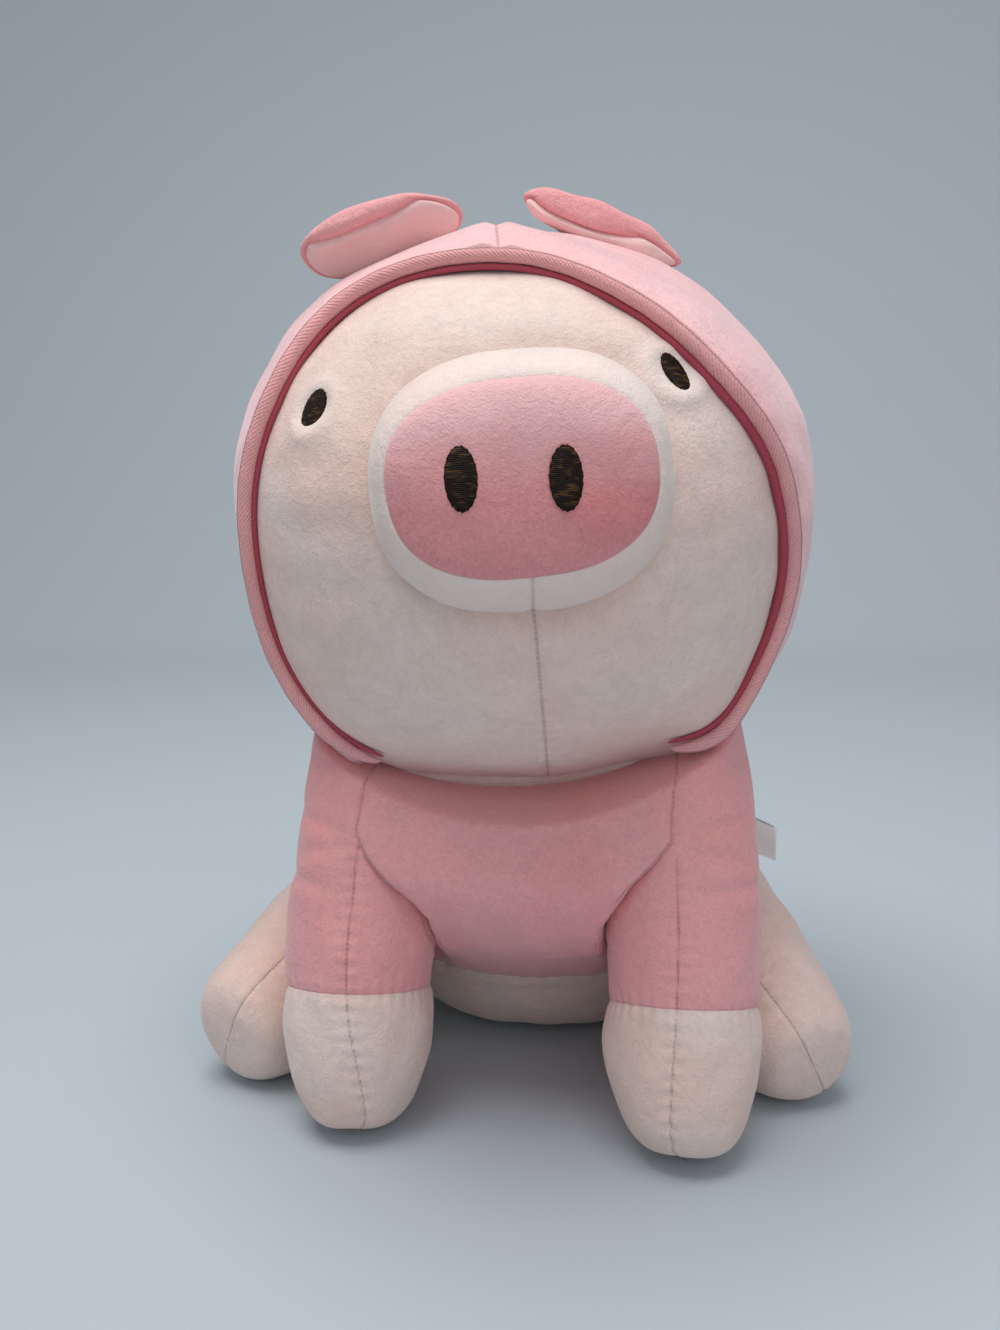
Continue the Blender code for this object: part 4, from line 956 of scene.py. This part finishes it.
# Where the legs are sewn on: how far the cloth is drawn up, the grooves, and the heights over which
# the front legs' lower seam gives way to the armhole's.
sewing = {
    "frontReach": 0.008, "hipReach": 0.014, "joined": (0.0012, 0, 0.0022), "armhole": (0.0007, 0, 0.0018),
    "lowerTo": (0.100, 0.108),
}


# The body's form: level rings along a spine that leans forward by its shares.
def bodyForm():
    heights = np.linspace(0, body["height"], len(body["leanShares"]))
    spine = [(0, -body["lean"] * share, height) for share, height in zip(body["leanShares"], heights)]
    return settled(stuffedForm(body, spine, (1, 0, 0), True))


# A front leg's form: a straight spine from the shoulder to the paw.
def frontLegForm(hand):
    shoulder = np.array([hand * frontLeg["shoulderSide"], -frontLeg["shoulderForward"], frontLeg["height"]])
    paw = np.array([hand * frontLeg["pawSide"][hand], -frontLeg["pawForward"][hand], 0])
    return settled(stuffedForm(frontLeg, (shoulder, (shoulder + paw) / 2, paw), (1, 0, 0)))


# A hind leg's form: a straight spine from the hip to the foot, with rings that lie level across.
def hindLegForm(hand):
    hip = np.array(hindLeg["hip"]) * (hand, 1, 1)
    foot = np.array(hindLeg["foot"][hand]) * (hand, 1, 1)
    across = unit(np.cross(foot - hip, [0, 0, 1.0]))
    return settled(stuffedForm(hindLeg, (hip, (hip + foot) / 2, foot), across, halfDepth=hindLeg["halfDepth"][hand]))


torsoForm = bodyForm()
frontForms = {hand: frontLegForm(hand) for hand in (leftSide, rightSide)}
hindForms = {hand: hindLegForm(hand) for hand in (leftSide, rightSide)}


# Half the chest's width between the armhole seams, at even heights from low to high.
armholes = {
    "low": 0.095, "high": 0.175, "before": -0.10, "fades": (0.100, 0.110), "hidden": 0.01, "crestBlend": 0.12,
    leftSide: (0.036, 0.0425, 0.0485, 0.0587, 0.0672, 0.0673, 0.0680, 0.0705, 0.073),
    rightSide: (0.034, 0.040, 0.051, 0.0605, 0.0652, 0.0640, 0.0628, 0.0612, 0.060),
}


# The half width at a height, on straight lines between the known ones of the side in question.
def chestHalfWidth(across, height):
    heights = np.linspace(armholes["low"], armholes["high"], len(armholes[leftSide]))
    wide = [np.interp(height, heights, armholes[hand]) for hand in (rightSide, leftSide)]
    return np.where(across > 0, wide[1], wide[0])


# Distance on the front to the armhole seam: the distance across, times the cosine of the seam's slant.
def armholeGap(points):
    across, height = points[..., 0], points[..., 2]
    step = 0.004
    slope = (chestHalfWidth(across, height + step) - chestHalfWidth(across, height - step)) / (2 * step)
    gap = np.abs(np.abs(across) - chestHalfWidth(across, height)) / np.sqrt(1 + slope**2)
    gap += armholes["hidden"] * (1 - ease(*armholes["fades"], height))
    return np.where(points[..., 1] < armholes["before"], gap, 1.0)


# How far forward the sleeves' crests reach at a height, blended across from one side to the other.
def crestForward(across, height):
    reach = []
    for hand in (rightSide, leftSide):
        centre, _, depth, _, deep = formSection(frontForms[hand], np.linspace(0.03, 0.9, 60))
        crest = centre - np.abs(depth)[:, None] * deep * np.sign(deep[:, 1:2])
        order = np.argsort(crest[:, 2])
        reach.append(np.interp(height, crest[order, 2], crest[order, 1]))
    share = np.clip(across / armholes["crestBlend"] + 0.5, 0, 1)
    return reach[0] * (1 - share) + reach[1] * share


# How far the chest is pushed forward of the plain body, so that it lies flush with the sleeves' crests
# between the armhole seams and fades out above the seat.
def chestPush(across, height):
    spine = torsoForm["spine"]
    centre, width, depth, _, _ = formSection(torsoForm, np.clip((height - spine[0][2]) / body["height"], 0.01, 0.99))
    plain = centre[..., 1] - depth * np.sqrt(np.clip(1 - (across / width) ** 2, 0.02, 1))
    half = chestHalfWidth(across, height)
    target = crestForward(across, height) - body["bulge"] * (1 - np.minimum((across / half) ** 2, 1))
    within = 1 - ease(half, half + body["chestEdge"], np.abs(across))
    level = ease(body["chestLow"], body["chestHigh"], height)
    return np.maximum(plain - target, 0) * within * level


# The push at places of the body: full in front of its middle, nothing behind it.
def chestMove(points, middle):
    return chestPush(points[..., 0], points[..., 2]) * ease(0.0, body["front"], middle[..., 1] - points[..., 1])


# The body's field, with its chest filled out.
def bodyField(points):
    spine = torsoForm["spine"]
    middle = smoothAt(spine, np.clip((points[..., 2] - spine[0][2]) / body["height"], 0, 1))
    shifted = points.copy()
    shifted[..., 1] += chestMove(points, middle)
    return formField(torsoForm, shifted)


# Cloth passes back under the chin: above a neckline that rises as the square of the distance across,
# what lies in front of the neck is drawn back to it.
def underChin(grid):
    neckline = body["neckHeight"] + body["neckRise"] * (grid[..., 0] / body["neckReach"]) ** 2
    share = ease(neckline - body["neckSoftness"], neckline + body["neckSoftness"], grid[..., 2])
    grid[..., 1] += np.maximum(body["neckBack"] - grid[..., 1], 0) * share
    return grid


# Cloth rests on the floor: what would lie below it is laid on it.
def onFloor(grid):
    grid[..., 2] = np.maximum(grid[..., 2], 0.0)
    return grid


# The body in two covers that meet at the seat's seam, drawn up to the legs that are sewn on.
def makeBody():
    grid, along, angle = formGrid(torsoForm, body["rows"], body["sides"])
    spine = torsoForm["spine"]
    middle = smoothAt(spine, along)
    grid[..., 1] -= chestMove(grid, middle)
    normals = gridNormals(grid, middle)
    run = angle * body["runRadius"]
    fromSeat = grid[..., 2] - body["seamHeight"]
    back = np.where(grid[..., 1] > middle[..., 1] + body["backSeamBehind"], np.abs(grid[..., 0]), 1.0)
    armhole = armholeGap(grid)
    lower = 1 - ease(*sewing["lowerTo"], grid[..., 2])
    gap = np.minimum(armhole, back)
    offset = lumps(grid, body["lumps"]) - raised(sewing["armhole"], armhole) - raised(body["backGroove"], back)
    offset += puckered(body["seatPucker"], run, fromSeat) - raised(body["seatGroove"], fromSeat)
    for hand in (leftSide, rightSide):
        apart, _ = formField(frontForms[hand], grid)
        offset += (drawnUp(apart, sewing["frontReach"]) - raised(sewing["joined"], apart)) * lower
        gap = np.minimum(gap, np.abs(apart) + 1 - lower)
        apart, _ = formField(hindForms[hand], grid)
        offset += drawnUp(apart, sewing["hipReach"]) - raised(sewing["joined"], apart)
        gap = np.minimum(gap, np.abs(apart))
    grid = onFloor(underChin(grid + normals * offset[..., None]))
    row = int(np.argmin(np.abs(along[:, 0] - (body["seamHeight"] - spine[0][2]) / body["height"])))
    poles = (np.array([*spine[0][:2], 0.0]), spine[-1])
    seat, suit = splitMesh(("seatCover", "suitCover"), grid, row, poles, seamGap=gap, seamRun=run + grid[..., 2])
    dress(seat, creamPlush, "torso", ["seat_panel"])
    dress(suit, pinkPlush, "torso", ["suit_body", "body_filling"])


# Soft creases: each lies at a turn and share of a leg, and is a narrow hollow with a swelling beside it.
sleeveCreases = (
    {"turn": 0.9, "share": 0.38, "tilt": 0.30, "reach": 0.55, "depth": 0.0016},
    {"turn": 1.2, "share": 0.44, "tilt": -0.15, "reach": 0.5, "depth": 0.0011},
    {"turn": 0.7, "share": 0.50, "tilt": 0.20, "reach": 0.6, "depth": 0.0012},
    {"turn": -0.5, "share": 0.42, "tilt": -0.25, "reach": 0.5, "depth": 0.0010},
    {"turn": -0.7, "share": 0.55, "tilt": 0.15, "reach": 0.5, "depth": 0.0009},
)
creasing = {"tiltRadius": 0.03, "hollow": (1, 0, 0.0032), "swelling": (0.6, 0.006, 0.005)}


# Each crease is its swelling less its hollow across its slanting line, dying away along it.
def creased(turn, along, length, creases):
    offset = np.zeros_like(turn)
    for crease in creases:
        aside = np.angle(np.exp(1j * (turn - crease["turn"])))
        across = (along - crease["share"]) * length - crease["tilt"] * creasing["tiltRadius"] * aside
        form = raised(creasing["swelling"], across) - raised(creasing["hollow"], across)
        offset += crease["depth"] * form * hump(aside, crease["reach"])
    return offset


# Distance round a leg to the nearer of its seams, from their angles.
def seamGaps(angle, turns, radius):
    return np.min([turnSize(angle - turn) for turn in turns], axis=0) * radius


# A front leg: a sleeve and a paw that meet at the cuff, with a seam down the front and one behind.
def makeFrontLeg(hand):
    name = sideNames[hand]
    form = frontForms[hand]
    grid, along, angle = formGrid(form, frontLeg["rows"], frontLeg["sides"])
    normals = gridNormals(grid, smoothAt(form["spine"], along))
    height = grid[..., 2].copy()
    front = math.pi / 2 + smoothAt(frontLeg["seamTurns"][hand], along)
    seam = seamGaps(angle, (front, -math.pi / 2), frontLeg["halfWidth"])
    seam += frontLeg["seamHidden"] * ease(*frontLeg["seamTop"], height) * (grid[..., 1] < armholes["before"])
    cuffShare = 1 - frontLeg["cuffHeight"] / frontLeg["height"]
    cuff = (along - cuffShare) * form["length"]
    run = along * form["length"]
    bodyGap, _ = bodyField(grid)
    armhole = armholeGap(grid)
    lower = 1 - ease(*sewing["lowerTo"], height)
    aside = np.cos(angle) * hand
    offset = -frontLeg["outerTrim"][hand] * np.clip(aside, 0, 1) * (1 - ease(*frontLeg["outerTo"], along))
    offset -= frontLeg["innerTrim"][hand] * np.clip(-aside, 0, 1) * (1 - ease(*frontLeg["innerTo"], along))
    offset += drawnUp(bodyGap, sewing["frontReach"]) * (1 - ease(*frontLeg["drawnTo"], cuff)) * lower
    offset -= raised(sewing["joined"], bodyGap) * lower + raised(sewing["armhole"], armhole)
    offset += puckered(frontLeg["pucker"], run, seam, hand) - raised(frontLeg["groove"], seam)
    offset += puckered(frontLeg["cuffPucker"], angle, cuff) - raised(frontLeg["cuffGroove"], cuff)
    offset += lumps(grid, frontLeg["lumps"], hand) - raised(frontLeg["cuffWaist"], cuff)
    mirrored = np.where(hand > 0, angle, math.pi - angle)
    offset += creased(mirrored, along, form["length"], sleeveCreases) * (cuff < 0)
    grid = onFloor(underChin(grid + normals * offset[..., None]))
    gap = np.minimum(seam, np.minimum(np.abs(bodyGap) + 1 - lower, armhole))
    row = int(np.argmin(np.abs(along[:, 0] - cuffShare)))
    poles = (form["spine"][0], form["spine"][-1] * (1, 1, 0))
    names = ("sleeveCover_" + name, "pawCover_" + name)
    sleeve, paw = splitMesh(names, grid, row, poles, seamGap=gap, seamRun=run)
    leg = "front_leg_" + name
    dress(sleeve, pinkPlush, None, ["sleeve_" + name, "front_leg_filling_" + name])
    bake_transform(sleeve)
    dress(paw, creamPlush, leg, ["paw_" + name])


# A hind leg: one cover, drawn up to the body and pressed flat where the front leg lies beside it.
def makeHindLeg(hand):
    name = sideNames[hand]
    form = hindForms[hand]
    grid, along, angle = formGrid(form, hindLeg["rows"], hindLeg["sides"])
    normals = gridNormals(grid, smoothAt(form["spine"], along))
    top = hand * hindLeg["seamTurn"] - math.pi / 2
    seam = seamGaps(angle, (top, top + math.pi), hindLeg["halfWidth"])
    run = along * form["length"]
    bodyGap, _ = bodyField(grid)
    offset = drawnUp(bodyGap, sewing["hipReach"]) - raised(sewing["joined"], bodyGap)
    upward = np.clip(normals[..., 2] + hindLeg["swellBelow"], 0, 1)
    offset += hindLeg["hipSwell"] * (1 - ease(*hindLeg["hipTo"], along)) * upward
    offset += puckered(hindLeg["pucker"], run, seam) - raised(hindLeg["groove"], seam)
    offset += lumps(grid, hindLeg["lumps"], hand)
    grid = grid + normals * offset[..., None]
    apart, away = formField(frontForms[hand], grid)
    grid = onFloor(grid + away * np.clip(hindLeg["clear"] - apart, 0, hindLeg["pressed"])[..., None])
    gap = np.minimum(seam, np.abs(bodyGap))
    poles = (form["spine"][0], form["spine"][-1])
    piece = ringMesh("hindLegCover_" + name, grid, poles, seamGap=gap, seamRun=run)
    dress(piece, creamPlush, "hind_leg_" + name, ["hind_leg_" + name, "hind_leg_filling_" + name])


makeBody()
for side in (leftSide, rightSide):
    makeFrontLeg(side)
    makeHindLeg(side)
print("body and legs made")


ear = {
    "side": {leftSide: 0.053, rightSide: 0.040}, "back": -0.026, "root": 0.0035,
    "halfWidth": 0.034, "halfDepth": {leftSide: 0.0082, rightSide: 0.0066}, "blunt": (0.35, 0.6),
    "rise": {leftSide: 0.0155, rightSide: 0.014}, "curl": {leftSide: 0.009, rightSide: 0.018},
    "sway": {leftSide: 0.019, rightSide: 0.012},
    "riseShares": (0.0, 0.28, 0.55, 0.79, 0.96), "curlShares": (0.0, 0.06, 0.25, 0.58, 1.0),
    "swayShares": (0.0, 0.15, 0.4, 0.7, 1.0), "widthShares": (0.86, 1.0, 0.98, 0.9), "depthShares": (1.0, 1.0),
    "rows": 130, "sides": 160, "lumps": ((0.0005, 0.02, 40),), "rimGroove": (0.0012, 0, 0.05), "rimSteep": 1.6,
    "rim": 0.17, "liningFoot": 0.03, "liningTop": 0.88, "proud": 0.0012, "liningDepth": 0.0022, "liningRun": 0.02,
    "seamInset": 0.0004, "liningInset": 0.0005, "swellPowers": (5, 7), "runTurn": 0.01,
}


# The point of the grown head over a place of its ball, and the direction out of it.
def hoodPlace(across, back):
    growth = head["hoodGrowth"]
    wide, deep = head["halfWidth"] + growth, head["radius"] + growth
    nudge = np.array([[0, 0], [1e-4, 0], [0, 1e-4]])
    x, y = across + nudge[:, 0], back + nudge[:, 1]
    up = deep * np.sqrt(1 - (x / wide) ** 2 - (y / deep) ** 2)
    points = shapeHead(np.stack([x, y, up], -1))
    out = np.cross(points[1] - points[0], points[2] - points[0])
    return points[0], out / np.linalg.norm(out)


# An ear's form: its spine rises from the hood, curls forward and sways to the pig's right by its shares.
def earForm(hand):
    base, normal = hoodPlace(hand * ear["side"][hand], ear["back"])
    spine = []
    for rise, curl, sway in zip(ear["riseShares"], ear["curlShares"], ear["swayShares"]):
        height = (ear["rise"][hand] + ear["root"]) * rise - ear["root"]
        spine.append(base + normal * height - np.array([ear["sway"][hand] * sway, ear["curl"][hand] * curl, 0]))
    return stuffedForm(ear, spine, unit(np.cross(normal, [0.0, 1.0, 0.0])), halfDepth=ear["halfDepth"][hand])


# An ear: the form's surface with a groove round its front, and a paler lining let in within that groove,
# a pad that is cut from the same surface and swells away from its own edge.
def makeEar(hand):
    name = sideNames[hand]
    form = earForm(hand)
    grid, along, angle = formGrid(form, ear["rows"], ear["sides"])
    normals = gridNormals(grid, smoothAt(form["spine"], along))
    edge = np.arcsin(np.clip(np.abs(np.sin(angle)), 0, 1)) / (math.pi / 2) - ear["rim"]
    rim = np.minimum(edge, (ear["liningTop"] - along) * ear["rimSteep"])
    front = np.sin(angle) > 0
    offset = lumps(grid, ear["lumps"], hand) - raised(ear["rimGroove"], rim) * front
    grid = grid + normals * offset[..., None]
    gap = np.where(front, np.abs(rim) * ear["halfWidth"] + ear["seamInset"], 1.0)
    run = along * form["length"] * 2 + angle * ear["runTurn"]
    back = headMesh("earBack_" + name, grid, form["spine"][[0, -1]], seamGap=gap, seamRun=run)
    dress(back, pinkPlush, "ear_" + name, ["ear_back_" + name])

    first = int(ear["rim"] / 2 * ear["sides"] / 2) + 2
    columns = np.arange(first, ear["sides"] // 2 - first + 1)
    rows = np.where((along[:, 0] > ear["liningFoot"]) & (along[:, 0] < ear["liningTop"]))[0]
    sheet, outward = (values[np.ix_(rows, columns)] for values in (grid, normals))
    u = np.linspace(-1, 1, len(columns))[None, :]
    v = np.linspace(-1, 1, len(rows))[:, None]
    aside, upward = ear["swellPowers"]
    swell = np.sqrt(np.clip((1 - np.abs(u) ** aside) * (1 - np.abs(v) ** upward), 0, 1))
    outer = sheet + outward * (ear["proud"] * (swell * 1.5 - 0.5))[..., None]
    inner = sheet - outward * ear["liningDepth"]
    gap = (1 - np.maximum(np.abs(u), np.abs(v))) * ear["liningRun"] + ear["liningInset"]
    patch = padMesh("earLining_" + name, outer, inner, gap, (v + u) * ear["liningRun"])
    dress(patch, liningCloth, "ear_" + name, ["ear_lining_" + name])


for side in (leftSide, rightSide):
    makeEar(side)
print("ears made")


tail = {
    "radius": 0.0058, "coil": 0.011, "reach": 0.028, "height": 0.080, "turns": 1.25, "growth": 0.33,
    "taper": 0.35, "tipShare": 0.05, "steps": 240, "sides": 40,
}


# The tail: a helix that grows out of the back, and a circle carried along it that tapers to a round tip.
def makeTail():
    share = tail["height"] / torsoForm["spine"][-1][2]
    centre, _, depth, _, _ = formSection(torsoForm, np.array([share]))
    back = centre[0][1] + depth[0]
    step = np.linspace(0, 1, tail["steps"])
    turn = 2 * math.pi * tail["turns"] * step
    coil = tail["coil"] * np.minimum(1, step / tail["growth"])
    path = np.stack([
        coil * np.sin(turn), back - tail["radius"] + tail["reach"] * step, tail["height"] + coil * (1 - np.cos(turn)),
    ], -1)
    tangent = unit(np.gradient(path, axis=0))
    side = unit(np.cross(tangent, [0.0, 0.3, 1.0]))
    tip = np.sqrt(np.clip((1 - step) / tail["tipShare"], 0, 1))
    radius = tail["radius"] * (1 - tail["taper"] * step) * np.clip(tip, 0.05, 1)
    grid, run, around = tubeAlong(path, side, np.cross(side, tangent), radius, 1.0, tail["sides"])
    gap = np.abs(around - math.pi * radius[:, None])
    piece = ringMesh("tailCurl", grid, (path[0], path[-1]), seamGap=gap, seamRun=run)
    dress(piece, pinkPlush, "torso", ["tail"])


label = {
    "length": 0.035, "thickness": 0.0009, "droop": 0.010, "sewnIn": 0.004, "sway": 0.0015, "swayTurn": 3,
    "ripple": 0.0008, "rippleTurns": (4, 2), "steps": 40, "rows": 24,
}


# The blank side label: a folded tape that stands out of the seam and droops as the square of its length.
def makeLabel():
    low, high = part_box("side_label")
    steps, rows = label["steps"], label["rows"]
    out = np.linspace(0, 1, steps)
    loop = np.concatenate([out, out[::-1]])[None, :]
    half = np.full(steps, label["thickness"] / 2)
    half[-1] = 0.0
    thick = np.concatenate([half, -half[::-1]])[None, :]
    across = np.linspace(0, 1, rows)[:, None]
    x = low.x - label["sewnIn"] + label["length"] * loop * np.ones_like(across)
    y = (low.y + high.y) / 2 + thick + label["sway"] * np.sin(loop * label["swayTurn"])
    rising, outward = label["rippleTurns"]
    y = y + label["ripple"] * np.sin(across * rising + loop * outward)
    grid = np.stack([x, y, low.z + (high.z - low.z) * across - label["droop"] * loop**2], -1)
    piece = ringMesh("sideLabel", grid, (grid[0].mean(0), grid[-1].mean(0)))
    dress(piece, labelTape, "torso", ["side_label"])


makeTail()
makeLabel()
print("tail and label made")


# Floor, light and camera

paper = {
    "floor": 6.0, "backdropAt": 1.6, "bend": 0.8, "height": 3.0, "roughness": 0.9,
    "nearColour": (0.50, 0.57, 0.62), "farPaintedLightColour": (0.80, 0.86, 0.90), "farAt": 1.8,
}


# The floor runs back level, bends up on a quarter circle and goes on as the backdrop. Its colour is painted paler
# towards the back: painted light on the backdrop, darker on the floor near the toy.
def makeStage():
    half, bend, start = paper["floor"] / 2, paper["bend"], paper["backdropAt"]
    turn = np.linspace(0, math.pi / 2, 24)
    back = np.concatenate([[-half], start + bend * np.sin(turn), [start + bend]])
    high = np.concatenate([[0], bend * (1 - np.cos(turn)), [paper["height"]]])
    grid = np.stack([np.stack([np.full_like(back, x), back, high], -1) for x in (-half, half)], 1)
    floor = ringMesh("studioFloor", grid, wrap=False)
    material, shader, start, place = newMaterial("studioPaper", paper)
    depth = place.grow("ShaderNodeSeparateXYZ", {}, {"Vector": place}, output="Y")
    far = depth.grow("ShaderNodeMapRange", {}, {"Value": depth, "From Min": 0.0, "From Max": paper["farAt"]})
    # Painted light: the paper is paler towards the back, so the backdrop shows brighter than the floor near the toy.
    linkTo(shader, "Base Color", mixed(far, paper["nearColour"], paper["farPaintedLightColour"]))
    floor.data.materials.append(material)


lamps = {
    "key": {"place": (-0.15, -0.38, 1.6), "size": 1.2, "watts": 18.5, "colour": (1.0, 0.985, 0.97)},
    "fill": {"place": (0.5, -1.3, 0.7), "size": 1.2, "watts": 2.8, "colour": (0.96, 0.98, 1.0)},
}
worldLight = {
    "colour": (0.92, 0.96, 1.0), "strength": 0.33, "shown": (0.60, 0.665, 0.705), "aim": (0, -0.05, 0.2),
}


# Two round lamps aimed at the toy, and a world that lights with one colour and shows another: the
# larger of the camera, glossy and transmission rays picks the one that is shown.
def makeLight():
    for name, lamp in lamps.items():
        data = bpy.data.lights.new(name, "AREA")
        data.shape = "DISK"
        data.size = lamp["size"]
        data.energy = lamp["watts"]
        data.color = lamp["colour"]
        light = bpy.data.objects.new(name, data)
        light.location = lamp["place"]
        light.rotation_euler = (Vector(worldLight["aim"]) - light.location).to_track_quat("-Z", "Y").to_euler()
        bpy.context.scene.collection.objects.link(light)
    world = bpy.data.worlds.new("studio")
    bpy.context.scene.world = world
    world.use_nodes = True
    world.node_tree.nodes.clear()
    start = Wire(world.node_tree)
    camera, glossy, through = (
        start.grow("ShaderNodeLightPath", output="Is " + kind + " Ray") for kind in ("Camera", "Glossy", "Transmission")
    )
    seen = start.sums("MAXIMUM", camera, start.sums("MAXIMUM", glossy, through))
    lit = {"Color": worldLight["colour"], "Strength": worldLight["strength"]}
    lit = start.grow("ShaderNodeBackground", {}, lit)
    shown = start.grow("ShaderNodeBackground", {}, {"Color": worldLight["shown"], "Strength": 1.0})
    both = start.grow("ShaderNodeMixShader", {}, {0: seen, 1: lit, 2: shown})
    output = world.node_tree.nodes.new("ShaderNodeOutputWorld")
    world.node_tree.links.new(both.socket, output.inputs["Surface"])


photoCamera = {
    "place": (0.0537, -0.6171, 0.2639), "yawDeg": 6.96, "pitchDeg": 7.0, "rollDeg": -0.62,
    "focalPixels": 1146.9, "longSide": 1330, "sensor": 36.0,
}


# The camera looks along its yaw and pitch, and is rolled about that line. Its lens is the focal
# length in pixels, times the sensor over the picture's long side.
def makeCamera():
    yaw, pitch = math.radians(photoCamera["yawDeg"]), math.radians(photoCamera["pitchDeg"])
    forward = Vector((-math.sin(yaw) * math.cos(pitch), math.cos(yaw) * math.cos(pitch), -math.sin(pitch)))
    right = Vector((math.cos(yaw), math.sin(yaw), 0))
    right, up = rolled(right, right.cross(forward), photoCamera["rollDeg"])
    data = bpy.data.cameras.new("photoCamera")
    data.sensor_width = photoCamera["sensor"]
    data.lens = photoCamera["focalPixels"] * photoCamera["sensor"] / photoCamera["longSide"]
    data.clip_start = 0.01
    camera = bpy.data.objects.new("photoCamera", data)
    turned = Matrix((right, up, -forward)).transposed().to_4x4()
    camera.matrix_world = Matrix.Translation(photoCamera["place"]) @ turned
    bpy.context.scene.collection.objects.link(camera)
    bpy.context.scene.camera = camera


makeStage()
makeLight()
makeCamera()
bpy.context.scene.view_settings.view_transform = "Standard"
print("stage made")
